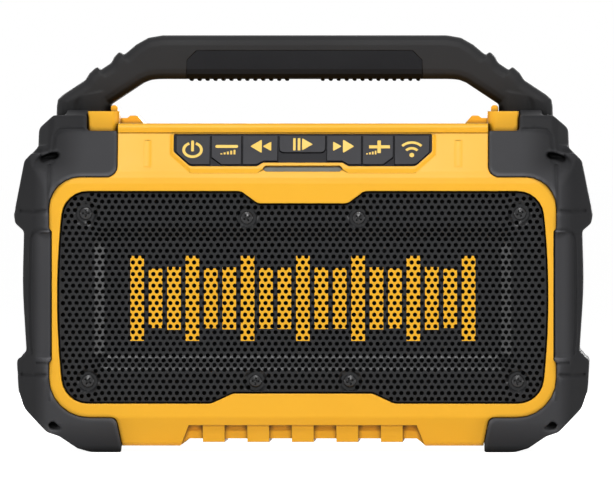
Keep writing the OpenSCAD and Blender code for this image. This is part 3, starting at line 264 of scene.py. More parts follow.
# %% [markdown]
# ## Circuit board and lens
# A circuit board is glass fibre under green solder mask, with copper tracks that show through as paler
# lines: a Manhattan Voronoi, which has square cells, gives such lines about 2.5 mm apart. The indicator lens
# is frosted polycarbonate (IOR 1.58): light goes in and comes out scattered, so it transmits only part of it.

# %% Board and lens
TRACK_PITCH_MM, TRACK_WIDTH = 2.5, 0.12
board = surface("solder_mask_on_glass_fibre", ("#1f5f3c", "#1a5334"), 15, (0.28, 0.40), 0.9, 0.006, 0.15,
                IOR=1.5)
tree = board.node_tree
place = add(tree, "ShaderNodeTexCoord").outputs["Object"]
far, near = (add(tree, "ShaderNodeTexVoronoi", {
    "Vector": place, "Scale": 1000 / TRACK_PITCH_MM,
}, distance="MANHATTAN", feature=feature).outputs["Distance"] for feature in ("F2", "F1"))
apart = add(tree, "ShaderNodeMath", {0: far, 1: near}, operation="SUBTRACT")
track = add(tree, "ShaderNodeMath", {0: apart.outputs[0], 1: TRACK_WIDTH}, operation="LESS_THAN")
shader = tree.nodes["Principled BSDF"]
mask = shader.inputs["Base Color"].links[0].from_socket
copper = add(tree, "ShaderNodeMix", {
    "Factor": track.outputs[0], MIX_A: mask, MIX_B: linear("#3f8a58")}, data_type="RGBA")
tree.links.new(copper.outputs[MIXED], shader.inputs["Base Color"])

# The lens's last pair tints its edges in the slot dark as painted shade.
lens_pc = surface("frosted_polycarbonate", ("#6d706a", "#62655f"), 5, (0.44, 0.54), 0.8, 0.008, 0.2,
                  (1.0, "#2a2620"), IOR=1.58, Specular_IOR_Level=0.2, Transmission_Weight=0.1)
print("board and lens done")

# %% [markdown]
# ## Powder-coated steel with a printed band
# The grille is punched from steel sheet, dished and powder coated; the powder melts into a skin with a faint
# orange peel, about 2 mm from hill to hill. A row of plain level bars is screen printed across the middle,
# in the housing's yellow. The print is worked out from position alone: the number of a bar gives its height,
# and a point inside a bar gets ink. It lies only on faces that look forward, so the walls of the holes stay
# dark.

# %% Powder coat and bar heights
# The last pair tints the dimples, hole walls and sheet along the rim dark as painted shade.
powder = surface("powder_coated_steel", ("#28282a", "#222324"), 30, (0.22, 0.28), 2.0, 0.030, 0.15,
                 (5, "#030303"), IOR=1.5, Specular_IOR_Level=0.2)
BAR_PITCH, BAR_WIDTH, BAND_HALF = 0.0084, 0.0062, 0.0788
BAR_LOW, BAR_SWING, BAR_PHASE = 0.0085, 0.0109, 2.1
tree = powder.node_tree
place = add(tree, "ShaderNodeTexCoord").outputs["Object"]
axes = add(tree, "ShaderNodeSeparateXYZ", {"Vector": place})
across = add(tree, "ShaderNodeMath", {0: axes.outputs["X"], 1: BAR_PITCH}, operation="DIVIDE")
number = add(tree, "ShaderNodeMath", {0: across.outputs[0]}, operation="ROUND")
inside = add(tree, "ShaderNodeMath", {0: across.outputs[0], 1: number.outputs[0]}, operation="SUBTRACT")
offset = add(tree, "ShaderNodeMath", {0: inside.outputs[0]}, operation="ABSOLUTE")
in_bar = add(tree, "ShaderNodeMath", {
    0: offset.outputs[0], 1: BAR_WIDTH / BAR_PITCH / 2}, operation="LESS_THAN")
phase = add(tree, "ShaderNodeMath", {0: number.outputs[0], 1: BAR_PHASE}, operation="MULTIPLY")
wave = add(tree, "ShaderNodeMath", {0: phase.outputs[0]}, operation="COSINE")
swing = add(tree, "ShaderNodeMath", {0: wave.outputs[0]}, operation="ABSOLUTE")
height = add(tree, "ShaderNodeMath", {
    0: swing.outputs[0], 1: BAR_SWING, 2: BAR_LOW}, operation="MULTIPLY_ADD")
print("printed bars:", 2 * int(BAND_HALF / BAR_PITCH) + 1)

# %% Ink on the coat
BAND_MID, FORWARD = 0.0702, -0.5
level = add(tree, "ShaderNodeMath", {0: axes.outputs["Z"], 1: BAND_MID}, operation="SUBTRACT")
rise = add(tree, "ShaderNodeMath", {0: level.outputs[0]}, operation="ABSOLUTE")
in_height = add(tree, "ShaderNodeMath", {0: rise.outputs[0], 1: height.outputs[0]}, operation="LESS_THAN")
reach = add(tree, "ShaderNodeMath", {0: axes.outputs["X"]}, operation="ABSOLUTE")
in_band = add(tree, "ShaderNodeMath", {0: reach.outputs[0], 1: BAND_HALF}, operation="LESS_THAN")
normal = add(tree, "ShaderNodeNewGeometry").outputs["True Normal"]
facing = add(tree, "ShaderNodeSeparateXYZ", {"Vector": normal})
forward = add(tree, "ShaderNodeMath", {0: facing.outputs["Y"], 1: FORWARD}, operation="LESS_THAN")
inked = in_bar
for test in (in_height, in_band, forward):
    inked = add(tree, "ShaderNodeMath", {0: inked.outputs[0], 1: test.outputs[0]}, operation="MULTIPLY")
shader = tree.nodes["Principled BSDF"]
coat = shader.inputs["Base Color"].links[0].from_socket
printed = add(tree, "ShaderNodeMix", {
    "Factor": inked.outputs[0], MIX_A: coat, MIX_B: linear("#f6b62a")}, data_type="RGBA")
tree.links.new(printed.outputs[MIXED], shader.inputs["Base Color"])
print("nodes in the grille's finish:", len(tree.nodes))

# %% [markdown]
# ## Dress the CAD nodes
# The record says which finish each node has, so one loop can dress them all. The material goes into the slot
# of the object, not of its mesh, which leaves the CAD mesh as it was.

# %% Finishes by record slot
finishes = {
    "yellow_abs": yellow_abs, "black_abs": black_abs, "bumper_rubber": bumper_tpe,
    "grip_rubber": grip_tpe, "grille_steel": powder, "black_screw": black_coat, "zinc_screw": zinc,
    "baffle_abs": baffle_abs, "basket_steel": basket_coat, "magnet_steel": ferrite,
    "surround_rubber": butyl, "cone_paper": cone_pulp, "key_rubber": key_silicone,
    "frame_abs": frame_abs, "circuit_board": board, "lens": lens_pc, "bare_aluminium": aluminium,
    "contact_brass": brass, "seal_rubber": seal_foam,
}
slot_of = {row["node"]: row["material_slot"] for row in frame["record"]["subparts"]}
for name, node in nodes.items():
    for holder in node.material_slots:
        holder.link = "OBJECT"
        holder.material = finishes[slot_of[name]]
print("dressed nodes:", len(slot_of))

# %% [markdown]
# ## Add a piece
# Every new mesh needs the same three things: an object in the scene, a material and a body to ride on.
# Pieces that stand for a CAD node also say so, and the node then stays for collision only, hidden.


# %% Piece helper
def piece(name, mesh, material, body="body", stands_for=()):
    mesh.materials.clear()
    mesh.materials.append(material)
    made = bpy.data.objects.new(name, mesh)
    scene.collection.objects.link(made)
    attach(made, body)
    if stands_for:
        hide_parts(*stands_for)
    return made


print("finishes that a piece can have:", len(finishes))

# %% [markdown]
# ## Grooves and notch of the bumpers
# Each bumper has shallow grooves where its blocks, its shoulder and its long rail meet, and a deep notch on
# the shoulder. They are pressed straight in, from the front and from the rear alike, along paths in
# millimetres, across from the middle and up from the floor, each with its half width and depth. Cutting them
# with booleans would leave sharp rims that rubber doesn't have; pushing the points in gives soft ones.

# %% Groove paths
GROOVES = [
    ([(99.8, 147.3), (110.9, 147.0), (113.5, 144.2), (114.1, 137.2)], 1.1, 0.8),
    ([(115.5, 130.8), (115.7, 119.0), (115.9, 109.7)], 1.1, 1.0),
    ([(117.5, 109.9), (122.0, 109.3), (128.5, 109.9)], 1.3, 1.1),
    ([(117.0, 35.2), (122.0, 34.7), (128.0, 35.3)], 1.3, 1.1),
    ([(115.8, 34.0), (115.2, 24.0)], 1.1, 0.7),
    ([(113.0, 101.4), (119.5, 101.4), (122.6, 100.2), (123.9, 97.0), (124.2, 90.0), (124.4, 70.0),
      (124.1, 52.0), (123.4, 45.0)], 1.0, 0.9),
    ([(113.0, 40.2), (121.0, 40.8)], 1.1, 0.9),
]
NOTCH = ([(112.6, 135.3), (115.0, 134.9), (118.4, 133.6)], 2.0, 3.4)
LEAST_FACING, SKIN_FROM, WALL_STEEPNESS = 0.15, 0.035, 1.6


def carved(mesh):
    places = np.empty(3 * len(mesh.vertices))
    normals = np.empty_like(places)
    mesh.vertices.foreach_get("co", places)
    mesh.vertices.foreach_get("normal", normals)
    places, normals = places.reshape(-1, 3), normals.reshape(-1, 3)
    spots = 1000 * np.column_stack([np.abs(places[:, 0]), places[:, 2]])
    side = np.sign(places[:, 1])
    skin = (normals[:, 1] * side > LEAST_FACING) & (np.abs(places[:, 1]) > SKIN_FROM)
    for path, half, depth in GROOVES + [NOTCH]:
        gap = np.full(len(spots), np.inf)
        for a, b in zip(np.array(path), np.array(path[1:])):
            share = np.clip((spots - a) @ (b - a) / ((b - a) @ (b - a)), 0, 1)
            gap = np.minimum(gap, np.hypot(*(spots - a - share[:, None] * (b - a)).T))
        ramp = np.clip(WALL_STEEPNESS * (1 - gap / half), 0, 1)
        places[skin, 1] -= (side * depth / 1000 * ramp * ramp * (3 - 2 * ramp))[skin]
    mesh.vertices.foreach_set("co", places.ravel())


print("grooves:", len(GROOVES), "depth of the notch in mm:", NOTCH[2])

# %% [markdown]
# ## Soft bumpers and handle
# The bumpers are thick rubber: every edge is round, and pockets run out softly. The solids have crisp edges,
# so a copy is remade as even voxels, smoothed until the edges are round, and thinned again where it is flat.
# Beveling each edge would be the other way, but bevels break where many small edges meet. The flanks take
# the knocks, so they are smoothed once more, and only then are the grooves pressed in, so that these stay
# fine. The handle gets the same treatment with less smoothing, which also melts the facets of its lofted
# legs.

# %% Helper for softened copies
SMOOTHING, WEAR_RAMP, WEAR_ROUNDS = 0.5, 8, 5


def baked(bench):
    mesh = bpy.data.meshes.new_from_object(bench.evaluated_get(bpy.context.evaluated_depsgraph_get()))
    bench.modifiers.clear()
    bench.data = mesh
    return mesh


def softened(node, voxel_mm, rounds, keep, worn_from=0):
    shape = bmesh.new()
    shape.from_mesh(nodes[node].data)
    bmesh.ops.remove_doubles(shape, verts=shape.verts, dist=1e-6)
    welded = bpy.data.meshes.new(node + "_welded")
    shape.to_mesh(welded)
    shape.free()
    bench = bpy.data.objects.new(node + "_bench", welded)
    scene.collection.objects.link(bench)
    remesh = bench.modifiers.new("voxels", "REMESH")
    remesh.mode, remesh.voxel_size = "VOXEL", voxel_mm / 1000
    smooth = bench.modifiers.new("round", "SMOOTH")
    smooth.factor, smooth.iterations = SMOOTHING, rounds
    if worn_from:
        baked(bench)
        worn = bench.vertex_groups.new(name="worn")
        for vertex in bench.data.vertices:
            share = (1000 * abs(vertex.co.x) - worn_from) / WEAR_RAMP
            worn.add([vertex.index], min(1, max(0, share)), "REPLACE")
        smooth = bench.modifiers.new("wear", "SMOOTH")
        smooth.factor, smooth.iterations, smooth.vertex_group = SMOOTHING, WEAR_ROUNDS, worn.name
        carved(baked(bench))
    thin = bench.modifiers.new("thin", "DECIMATE")
    thin.ratio = keep
    mesh = baked(bench)
    bpy.data.objects.remove(bench)
    mesh.shade_smooth()
    return mesh


print("wear comes in over", WEAR_RAMP, "mm")

# %% Bumpers and handle
for side in ("left", "right"):
    mesh = softened(side + "_bumper", voxel_mm=0.6, rounds=4, keep=0.18, worn_from=104)
    piece(side + "_bumper_rubber", mesh, bumper_tpe, stands_for=[side + "_bumper"])
    print(side, "bumper faces:", len(mesh.polygons))
mesh = softened("handle", voxel_mm=0.5, rounds=2, keep=0.18)
piece("handle_bar", mesh, handle_abs, stands_for=["handle"])
print("handle faces:", len(mesh.polygons))

# %% [markdown]
# ## Outlines with round corners
# The grille and the symbols are flat outlines with rounded corners. A corner is given as a point and a
# radius; the function walks round the outline and puts a short arc in each corner, all in millimetres.

# %% Outline helper
NEARLY_STRAIGHT = math.radians(89.5)


def rounded(corners, step=15):
    path = []
    for i, (x, z, r) in enumerate(corners):
        here = Vector((x, z))
        a = (Vector(corners[i - 1][:2]) - here).normalized()
        b = (Vector(corners[(i + 1) % len(corners)][:2]) - here).normalized()
        half = a.angle(b) / 2
        if r <= 0 or half > NEARLY_STRAIGHT:
            path.append(here)
            continue
        centre = here + (a + b).normalized() * (r / math.sin(half))
        start = here + a * (r / math.tan(half)) - centre
        end = here + b * (r / math.tan(half)) - centre
        first = math.atan2(start.y, start.x)
        turn = (math.atan2(end.y, end.x) - first + 3 * math.pi) % (2 * math.pi) - math.pi
        count = max(2, math.ceil(abs(math.degrees(turn)) / step))
        angles = [first + turn * k / count for k in range(count + 1)]
        path += [centre + r * Vector((math.cos(angle), math.sin(angle))) for angle in angles]
    return path


def mirrored_outline(half):
    return rounded(half + [(-x, z, r) for x, z, r in reversed(half)])


print("points in a rounded square:", len(rounded([(0, 0, 1), (4, 0, 1), (4, 4, 1), (0, 4, 1)])))

# %% [markdown]
# ## The perforated grille
# Real grille sheet has some 2000 holes of about 2 mm, 3.1 mm apart in staggered rows, which is far too many
# for the solid. Here the sheet is triangulated around its outline and all hole rims at once with a
# constrained Delaunay triangulation; boolean cuts would take minutes. Triangles that fall inside a hole are
# dropped, every vertex is then pushed back by the dish and the screw dimples, and the rims are given the
# thickness of the sheet. The blank was cut from a larger perforated sheet, so a hole that meets the edge is
# cut to the shape of a D; a thin sliver of metal closes it there. The sheet was punched before it was
# pressed, so the press drew the rows beside the dish about a millimetre inwards.

# %% Grille outline
box_low, box_high = (1000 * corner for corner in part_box("grille"))
EDGE, TRIM, BOW, BOW_REACH = 0.4, 0.4, 3.2, 0.7
LOW_STEP_IN, LOW_STEP_OUT, LOW_STEP = 31.8, 41.8, 4.6
HIGH_STEP_IN, HIGH_STEP_OUT, HIGH_STEP = 20.4, 28.1, 5.6
CORNER_R, STEP_R, LOW_FOOT_R = 12, 4, 6
mid_z = (box_low.z + box_high.z) / 2
open_half, open_low, open_high = box_high.x + EDGE, box_low.z - EDGE, box_high.z + EDGE


def grille_outline(inset):
    bowed = [(open_half - BOW * t * t - inset, mid_z + t * (open_high - open_low) / 2, 0)
             for t in np.linspace(-BOW_REACH, BOW_REACH, 15)]
    return mirrored_outline([
        (LOW_STEP_IN, open_low + LOW_STEP + inset, STEP_R), (LOW_STEP_OUT, open_low + inset, LOW_FOOT_R),
        (open_half - BOW - inset, open_low + inset, CORNER_R - inset), *bowed,
        (open_half - BOW - inset, open_high - inset, CORNER_R - inset),
        (HIGH_STEP_OUT, open_high - inset, STEP_R), (HIGH_STEP_IN, open_high - HIGH_STEP - inset, STEP_R),
    ])


SCREWS = [(s * x, z) for s in (-1, 1) for x, z in (
    (open_half - 13, open_high - 10.2), (25.5, open_high - 12.2),
    (open_half - 14, open_low + 10.3), (21.5, open_low + 10.3))]
outline = np.array([tuple(p) for p in grille_outline(EDGE + TRIM)])
print("points in the grille's outline:", len(outline))

# %% Hole pattern
HOLE_PITCH, ROW, HOLE_R, RIM_SIDES = 3.1, 2.65, 1.02, 10
SELVAGE, LEAST_ROOM, SCREW_CLEAR = 0.15, 0.25, 4.3
DISH_HALF, DISH_LOW, DISH_HIGH = open_half - 16.2, open_low + 15.6, open_high - 16.2
DISH_SLOPE, DISH_DEPTH = 6.0, 4.0
DRAWN, DRAWN_RAMP = np.array([0.7, 1.4]), 8
rows = int((open_high - open_low) / ROW) // 2
columns = int(open_half / HOLE_PITCH) + 1
spots = np.array([((i + 0.5 * (j % 2)) * HOLE_PITCH, mid_z + j * ROW)
                  for j in range(-rows, rows + 1) for i in range(-columns, columns + 1)])
dish_mid, dish_reach = (0, (DISH_LOW + DISH_HIGH) / 2), (DISH_HALF, (DISH_HIGH - DISH_LOW) / 2)
from_dish = np.abs(spots - dish_mid) - dish_reach
beside = np.clip(0.5 - from_dish[:, ::-1] / DRAWN_RAMP, 0, 1)
drawn = DRAWN * np.clip((from_dish + DISH_SLOPE) / (DISH_SLOPE + DRAWN), 0, 1) * beside
spots -= np.sign(spots - (0, mid_z)) * drawn
print("spots in the pattern:", len(spots))

# %% Holes within the outline
following = np.roll(outline, -1, axis=0)
along = following - outline
t = np.clip(((spots[:, None] - outline) * along).sum(2) / (along ** 2).sum(1), 0, 1)
away = np.linalg.norm(spots[:, None] - outline - t[..., None] * along, axis=2)
crossing = (outline[:, 1] > spots[:, None, 1]) != (following[:, 1] > spots[:, None, 1])
slope = along[:, 0] / np.where(along[:, 1] == 0, 1e-9, along[:, 1])
left_of = spots[:, None, 0] < outline[:, 0] + (spots[:, None, 1] - outline[:, 1]) * slope
within = (crossing & left_of).sum(1) % 2 == 1
screw_gap = np.linalg.norm(spots[:, None] - np.array(SCREWS), axis=2).min(1)
edge_room = away.min(1) - SELVAGE
chosen = within & (edge_room > LEAST_ROOM) & (screw_gap > SCREW_CLEAR)
nearest = away.argmin(1)[chosen]
inward = (np.column_stack([-along[:, 1], along[:, 0]]) / np.linalg.norm(along, axis=1)[:, None])[nearest]
spots, edge_room = spots[chosen], edge_room[chosen]
inward *= np.sign(((spots - outline[nearest]) * inward).sum(1))[:, None]
print("holes:", len(spots), "of them cut by the edge:", int((edge_room < HOLE_R).sum()))

# %% Dish and dimples
DISH_R, CREASE, SHEET = 8.0, 0.85, 1.0
DIMPLE_R, DIMPLE_SLOPE, DIMPLE_DEPTH = 5.6, 1.4, 1.4


def pressed(points):
    past = np.abs(points - dish_mid) - dish_reach + DISH_R
    outside = np.hypot(*np.maximum(past, 0).T) + np.minimum(past.max(1), 0)
    ramp = np.clip((DISH_R - outside) / DISH_SLOPE, 0, 1)
    dish = DISH_DEPTH * (CREASE * ramp + (1 - CREASE) * ramp * ramp * (3 - 2 * ramp))
    reach = np.linalg.norm(points[:, None] - np.array(SCREWS), axis=2).min(1)
    return np.maximum(dish, DIMPLE_DEPTH * np.clip((DIMPLE_R - reach) / DIMPLE_SLOPE, 0, 1))


print("depth in the middle of the dish in mm:", pressed(np.array([dish_mid]))[0])

# %% Sheet in triangles
RINGS = ((1.5, 8), (3.0, 14), (4.2, 20), (DIMPLE_R, 26))
RING_CLEAR = 0.15


def circle(r, count):
    turns = [k * math.tau / count for k in range(count)]
    return [(r * math.cos(turn), r * math.sin(turn)) for turn in turns]


loops = [[tuple(p) for p in outline]]
rim = np.array(circle(HOLE_R, RIM_SIDES))
for spot, room, inner in zip(spots, edge_room, inward):
    cut = np.maximum(-(rim @ inner) - room, 0)
    loops.append([tuple(p) for p in spot + rim + cut[:, None] * inner])
flat, rim_edges, owner = [], [], []
for number, loop in enumerate(loops):
    first = len(flat)
    flat += loop
    owner += [number] * len(loop)
    rim_edges += [(first + k, first + (k + 1) % len(loop)) for k in range(len(loop))]
for x, z in SCREWS:
    for r, count in RINGS:
        ring = [(x + dx, z + dz) for dx, dz in circle(r, count)]
        ring = [p for p in ring if np.hypot(*(spots - p).T).min() > HOLE_R + RING_CLEAR]
        flat += ring
        owner += [0] * len(ring)
points, _, triangles, source, *_ = delaunay_2d_cdt([Vector(p) for p in flat], rim_edges, [], 1, 1e-5)
belongs = [owner[ids[0]] if ids else 0 for ids in source]
kept = [f for f in triangles if belongs[f[0]] == 0 or len({belongs[k] for k in f}) > 1]
points = np.array([tuple(p) for p in points])
print("points:", len(points), "triangles of metal:", len(kept))

# %% Grille sheet
front_y = box_low.y + pressed(points)
count = len(points)
front = np.column_stack([points[:, 0], front_y, points[:, 1]]) / 1000
back = np.column_stack([points[:, 0], front_y + SHEET, points[:, 1]]) / 1000
used = dict.fromkeys((f[k], f[(k + 1) % 3]) for f in kept for k in range(3))
walls = [(b, a, a + count, b + count) for a, b in used if (b, a) not in used]
faces = [tuple(f) for f in kept] + [(f[2] + count, f[1] + count, f[0] + count) for f in kept] + walls
mesh = bpy.data.meshes.new("grille_sheet")
mesh.from_pydata([tuple(p) for p in np.vstack([front, back])], [], faces)
shape = bmesh.new()
shape.from_mesh(mesh)
bmesh.ops.delete(shape, geom=[v for v in shape.verts if not v.link_faces], context="VERTS")
bmesh.ops.recalc_face_normals(shape, faces=shape.faces)
shape.to_mesh(mesh)
shape.free()
mesh.shade_smooth()
mesh.set_sharp_from_angle(angle=math.radians(40))
piece("grille_sheet", mesh, powder, stands_for=["grille"])
print("grille faces:", len(mesh.polygons))

# %% [markdown]
# ## Cross-recess screws
# A pan-head screw is a round dome with a cross pressed into it. The top is triangulated around two crosses,
# a larger one at the surface and a smaller one at the bottom of the recess, so the walls between them lean
# in as they do for a real driver bit. Below the top, the same ring of points goes on as edge, shank and
# thread.

# %% Screw head and profile
HEAD_R, HEAD_H, SHANK_R, SHANK_L, SIDES = 2.9, 1.3, 1.4, 8.0, 32
TOP_R, TOP_RING_R, TOP_RING_SIDES, DOME = 2.6, 2.15, 20, 0.09
MOUTH, RECESS, RECESS_H, CROSS_SIDES = (1.75, 0.42), (1.05, 0.2), 0.2, 12
THREADS, THREAD_TOP, ROOT_R, ROOT_DROP, TIP_R = 7, -0.6, 1.12, 0.5, 0.6
seat_y = 1000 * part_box("grille_screws")[0].y + HEAD_H


def cross(long, wide):
    quarter = [(wide, wide), (wide, long), (-wide, long)]
    quarters = ((1, 0), (0, 1), (-1, 0), (0, -1))
    return [(x * c - z * d, x * d + z * c) for c, d in quarters for x, z in quarter]


top = circle(TOP_R, SIDES) + cross(*MOUTH) + cross(*RECESS) + circle(TOP_RING_R, TOP_RING_SIDES)
loops = ((0, SIDES), (SIDES, CROSS_SIDES), (SIDES + CROSS_SIDES, CROSS_SIDES))
edges = [(first + k, first + (k + 1) % size) for first, size in loops for k in range(size)]
solved = delaunay_2d_cdt([Vector(p) for p in top], edges, [], 1, 1e-6)
heights = [HEAD_H - DOME * (x * x + z * z) for x, z in top]
heights[SIDES + CROSS_SIDES:SIDES + 2 * CROSS_SIDES] = [RECESS_H] * CROSS_SIDES
profile = [(2.8, 0.5), (HEAD_R, 0.3), (HEAD_R, 0.0), (SHANK_R, 0.0)]
profile += [(r, THREAD_TOP - k - drop) for k in range(THREADS)
            for r, drop in ((SHANK_R, 0), (ROOT_R, ROOT_DROP))]
profile += [(TIP_R, -SHANK_L)]
print("faces on top of a head:", len(solved[2]), "rings below it:", len(profile))

# %% Grille screws
TURN_STEP = 0.5
shape = bmesh.new()


def screw_vertex(screw, turn, place, height):
    c, d = math.cos(TURN_STEP * turn), math.sin(TURN_STEP * turn)
    x, z = screw[0] + c * place[0] - d * place[1], screw[1] + d * place[0] + c * place[1]
    return shape.verts.new((x / 1000, (seat_y - height) / 1000, z / 1000))


for turn, screw in enumerate(SCREWS):
    skin = [screw_vertex(screw, turn, p, h) for p, h in zip(top, heights)]
    spot = [skin[ids[0]] for ids in solved[3]]
    for face in solved[2]:
        shape.faces.new([spot[k] for k in face])
    ring = skin[:SIDES]
    for r, h in profile:
        lower = [screw_vertex(screw, turn, p, h) for p in circle(r, SIDES)]
        for k in range(SIDES):
            after = (k + 1) % SIDES
            shape.faces.new((ring[k], ring[after], lower[after], lower[k]))
        ring = lower
    shape.faces.new(ring)
bmesh.ops.recalc_face_normals(shape, faces=shape.faces)
mesh = bpy.data.meshes.new("grille_screw_set")
shape.to_mesh(mesh)
shape.free()
mesh.shade_smooth()
mesh.set_sharp_from_angle(angle=math.radians(35))
piece("grille_screw_set", mesh, black_coat, stands_for=["grille_screws"])
print("screws:", len(SCREWS), "faces:", len(mesh.polygons))

# %% [markdown]
# ## Symbols on the keys
# The symbols are pad printed: a film of ink, raised by a few hundredths of a millimetre. Each is drawn as
# outlines on the sloped control panel, x across and v up the slope, and extruded from just inside the key to
# just above it. A symbol rides on its key, so it goes down with the key when that is pressed.

# %% Panel frame and ink films
LEAN = math.radians(25)
PANEL_FOOT = Vector((0, -62.0, 125.4))
PANEL_UP = Vector((0, math.sin(LEAN), math.cos(LEAN)))
PANEL_OUT = Vector((0, -math.cos(LEAN), math.sin(LEAN)))
KEY_TOP, INK = 0.5, 0.05


def on_panel(x, v, n):
    return (PANEL_FOOT + Vector((x, 0, 0)) + PANEL_UP * v + PANEL_OUT * n) / 1000


def film(name, outlines, key):
    shape = bmesh.new()
    for path in outlines:
        lower = [shape.verts.new(on_panel(p[0], p[1], KEY_TOP - INK)) for p in path]
        upper = [shape.verts.new(on_panel(p[0], p[1], KEY_TOP + INK)) for p in path]
        shape.faces.new(lower)
        shape.faces.new(upper)
        for k in range(len(path)):
            after = (k + 1) % len(path)
            shape.faces.new((lower[k], lower[after], upper[after], upper[k]))
    bmesh.ops.recalc_face_normals(shape, faces=shape.faces)
    mesh = bpy.data.meshes.new(name)
    shape.to_mesh(mesh)
    shape.free()
    return piece(name, mesh, yellow_ink, body=key)


print("the panel leans back by", round(math.degrees(LEAN)), "degrees")


# %% Shapes that the symbols are made of
def bar(x0, v0, x1, v1, r=0.3):
    return rounded([(x0, v0, r), (x1, v0, r), (x1, v1, r), (x0, v1, r)], 30)


def arrow(base_x, tip_x, v, half):
    return rounded([(base_x, v - half, 0.3), (tip_x, v, 0.3), (base_x, v + half, 0.3)], 40)


def arc(x, v, rx, rv, thick, first, last, count=28):
    angles = [math.radians(first + (last - first) * k / count) for k in range(count + 1)]
    outer = [Vector((x + rx * math.cos(a), v + rv * math.sin(a))) for a in angles]
    rx, rv = rx - thick, rv - thick
    inner = [Vector((x + rx * math.cos(a), v + rv * math.sin(a))) for a in reversed(angles)]
    return outer + inner


STAIR_FOOT, STAIR_TOP, STAIR_RISE, STAIR_R = 11.3, 11.9, 0.42, 0.15


def stairs(x, pitch, width, count):
    return [bar(x + pitch * k, STAIR_FOOT, x + width + pitch * k, STAIR_TOP + STAIR_RISE * k, STAIR_R)
            for k in range(count)]


print("points in an arrow:", len(arrow(0, 4, 0, 3)), "and in an arc:", len(arc(0, 0, 4, 4, 1, 0, 90)))

# %% Symbols
POWER_X, POWER_V = -50.3, 13.6
ARROW_V, BIG, SMALL = 15.4, 3.4, 2.4
PAUSE_LOW, PAUSE_HIGH, PLAY_V = 13.3, 19.5, 16.4
PAIR_X, PAIR_V, PAIR_DOT, PAIR_LINE = 49.7, 11.0, 1.1, 1.2
dot = [Vector((PAIR_X + dx, PAIR_V + dv)) for dx, dv in circle(PAIR_DOT, 16)]
film("power_symbol", [
    arc(POWER_X, POWER_V, 4.7, 4.1, 1.3, 112, 428), bar(POWER_X - 0.65, 12.8, POWER_X + 0.65, 18.3, 0.5),
], "power_key")
film("volume_down_symbol", [
    bar(-39.9, 14.6, -29.5, 16.05, 0.7), *stairs(-37.6, 1.5, 0.9, 5),
], "volume_down_key")
film("rewind_symbol", [
    arrow(-18.7, -24.0, ARROW_V, BIG), arrow(-14.4, -18.3, ARROW_V, SMALL),
], "rewind_key")
film("play_symbol", [
    bar(-4.45, PAUSE_LOW, -3.3, PAUSE_HIGH), bar(-2.35, PAUSE_LOW, -1.15, PAUSE_HIGH),
    arrow(-0.35, 4.6, PLAY_V, 3.1),
], "play_key")
film("forward_symbol", [
    arrow(13.8, 17.8, ARROW_V, SMALL), arrow(18.3, 23.5, ARROW_V, BIG),
], "forward_key")
film("volume_up_symbol", [
    bar(30.2, 14.35, 33.98, 15.9, 0), bar(35.62, 14.35, 39.7, 15.9, 0), bar(34.0, 12.0, 35.6, 18.3, 0.3),
    *stairs(28.9, 1.3, 0.8, 4),
], "volume_up_key")
film("pairing_symbol", [
    dot, arc(PAIR_X, PAIR_V, 4.0, 4.0, PAIR_LINE, 42, 138, 14),
    arc(PAIR_X, PAIR_V, 6.9, 6.9, PAIR_LINE, 46, 134, 18),
], "pairing_key")

# %% [markdown]
# ## Camera
# The view is level and from a long way off: no deck shows above the brow and parallel edges stay parallel.
# The handle, which stands behind the front face, is seen a millimetre to the right of its middle, so the
# camera stands one degree to the right. The focal length follows from the distance and from how much of the
# front face the picture spans, both in metres.

# %% Camera
PICTURE_WIDTH, DISTANCE, SENSOR = 0.2798, 8.0, 36.0
TURN, RAISE = math.radians(1.0), math.radians(0.3)
aim = Vector((0.0020, -0.062, 0.0939))
lens = bpy.data.cameras.new("camera")
lens.sensor_width = SENSOR
lens.lens = SENSOR * DISTANCE / PICTURE_WIDTH
lens.clip_start, lens.clip_end = 0.1, 200
camera = bpy.data.objects.new("camera", lens)
level = math.cos(RAISE)
back = Vector((math.sin(TURN) * level, -math.cos(TURN) * level, math.sin(RAISE)))
camera.location = aim + DISTANCE * back
camera.rotation_euler = (math.pi / 2 - RAISE, 0, TURN)
scene.collection.objects.link(camera)
scene.camera = camera
print("focal length in mm:", round(lens.lens))

# %% [markdown]
# ## Floor and background
# A studio shot on white: a wide pale floor that keeps the object's shadow, and a plain white world. Both are
# white only for rays that the camera, a mirror or a lens sends out. For all other rays the floor is matt
# paper and the world a faint fill, so the background is clean without more light on the object.

# %% Floor
FLOOR_HALF, FLOOR_GLOW = 60, 0.97


def seen_directly(tree):
    rays = add(tree, "ShaderNodeLightPath").outputs
    seen = rays["Is Camera Ray"]
    for kind in ("Is Glossy Ray", "Is Transmission Ray"):
        seen = add(tree, "ShaderNodeMath", {0: seen, 1: rays[kind]}, operation="MAXIMUM").outputs[0]
    return seen


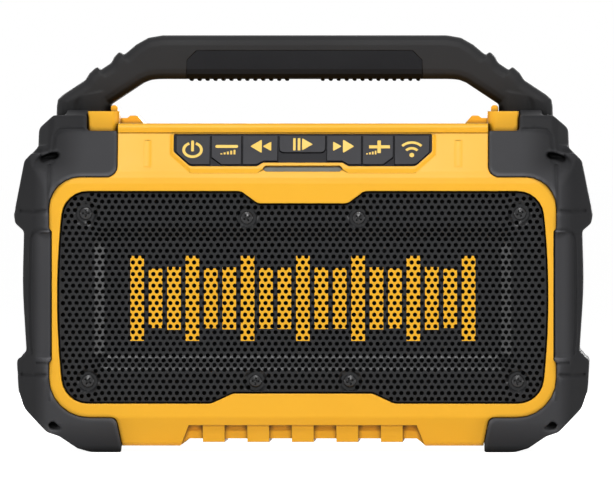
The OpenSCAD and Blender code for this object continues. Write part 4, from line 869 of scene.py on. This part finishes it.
floor_mesh = bpy.data.meshes.new("floor")
corners = [(x * FLOOR_HALF, y * FLOOR_HALF, 0) for x, y in ((-1, -1), (1, -1), (1, 1), (-1, 1))]
floor_mesh.from_pydata(corners, [], [(0, 1, 2, 3)])
floor = bpy.data.objects.new("floor", floor_mesh)
scene.collection.objects.link(floor)
paper = bpy.data.materials.new("white_studio_paper")
paper.use_nodes = True
tree = paper.node_tree
tree.nodes.clear()
strength = add(tree, "ShaderNodeMath", {0: seen_directly(tree), 1: FLOOR_GLOW}, operation="MULTIPLY")
glow = add(tree, "ShaderNodeEmission", {"Strength": strength.outputs[0]})
matt = add(tree, "ShaderNodeBsdfDiffuse", {"Color": linear("#e4e4e4")})
both = add(tree, "ShaderNodeAddShader", {0: glow.outputs[0], 1: matt.outputs[0]})
add(tree, "ShaderNodeOutputMaterial", {"Surface": both.outputs[0]})
floor_mesh.materials.append(paper)
print("floor in metres:", 2 * FLOOR_HALF)

# %% World
FILL = 0.03
world = bpy.data.worlds.new("studio")
world.use_nodes = True
scene.world = world
tree = world.node_tree
tree.nodes.clear()
strength = add(tree, "ShaderNodeMapRange", {"Value": seen_directly(tree), "To Min": FILL, "To Max": 1.0})
sky = add(tree, "ShaderNodeBackground", {"Color": WHITE, "Strength": strength.outputs[0]})
add(tree, "ShaderNodeOutputWorld", {"Surface": sky.outputs[0]})
print("strength of the fill:", FILL)

# %% [markdown]
# ## Lamps
# A narrow key box hangs high in front and gives the sloped panel and the top edges their light; a second box,
# farther off and a little lower, lights the front face. Black parts show their shape mostly by what they
# reflect: two low boxes stand at the sides, where the slopes of the grille's dish mirror them to the camera,
# and a low, wide one behind lights the back for views from there. Places and sizes are in metres.

# %% Soft boxes
LAMP_AIM = Vector((0, 0, 0.09))


def soft_box(name, place, size, watts):
    lamp = bpy.data.lights.new(name, "AREA")
    lamp.shape, lamp.size, lamp.size_y, lamp.energy = "RECTANGLE", size[0], size[1], watts
    holder = bpy.data.objects.new(name, lamp)
    holder.location = place
    holder.rotation_euler = (LAMP_AIM - Vector(place)).to_track_quat("-Z", "Y").to_euler()
    scene.collection.objects.link(holder)


soft_box("key_box", (0.1, -1.2, 1.6), (1.0, 0.2), 16.6)
soft_box("front_box", (0.0, -2.3, 1.25), (0.9, 0.3), 24.9)
soft_box("left_box", (-1.65, -0.82, 0.1), (0.5, 0.3), 3.5)
soft_box("right_box", (1.65, -0.82, 0.1), (0.5, 0.3), 4.5)
soft_box("rear_box", (0.0, 1.9, 0.4), (1.4, 0.6), 20)

# %% [markdown]
# ## Finish
# Standard view transform shows a colour about as it was written.

# %% View and finish
scene.view_settings.view_transform = "Standard"
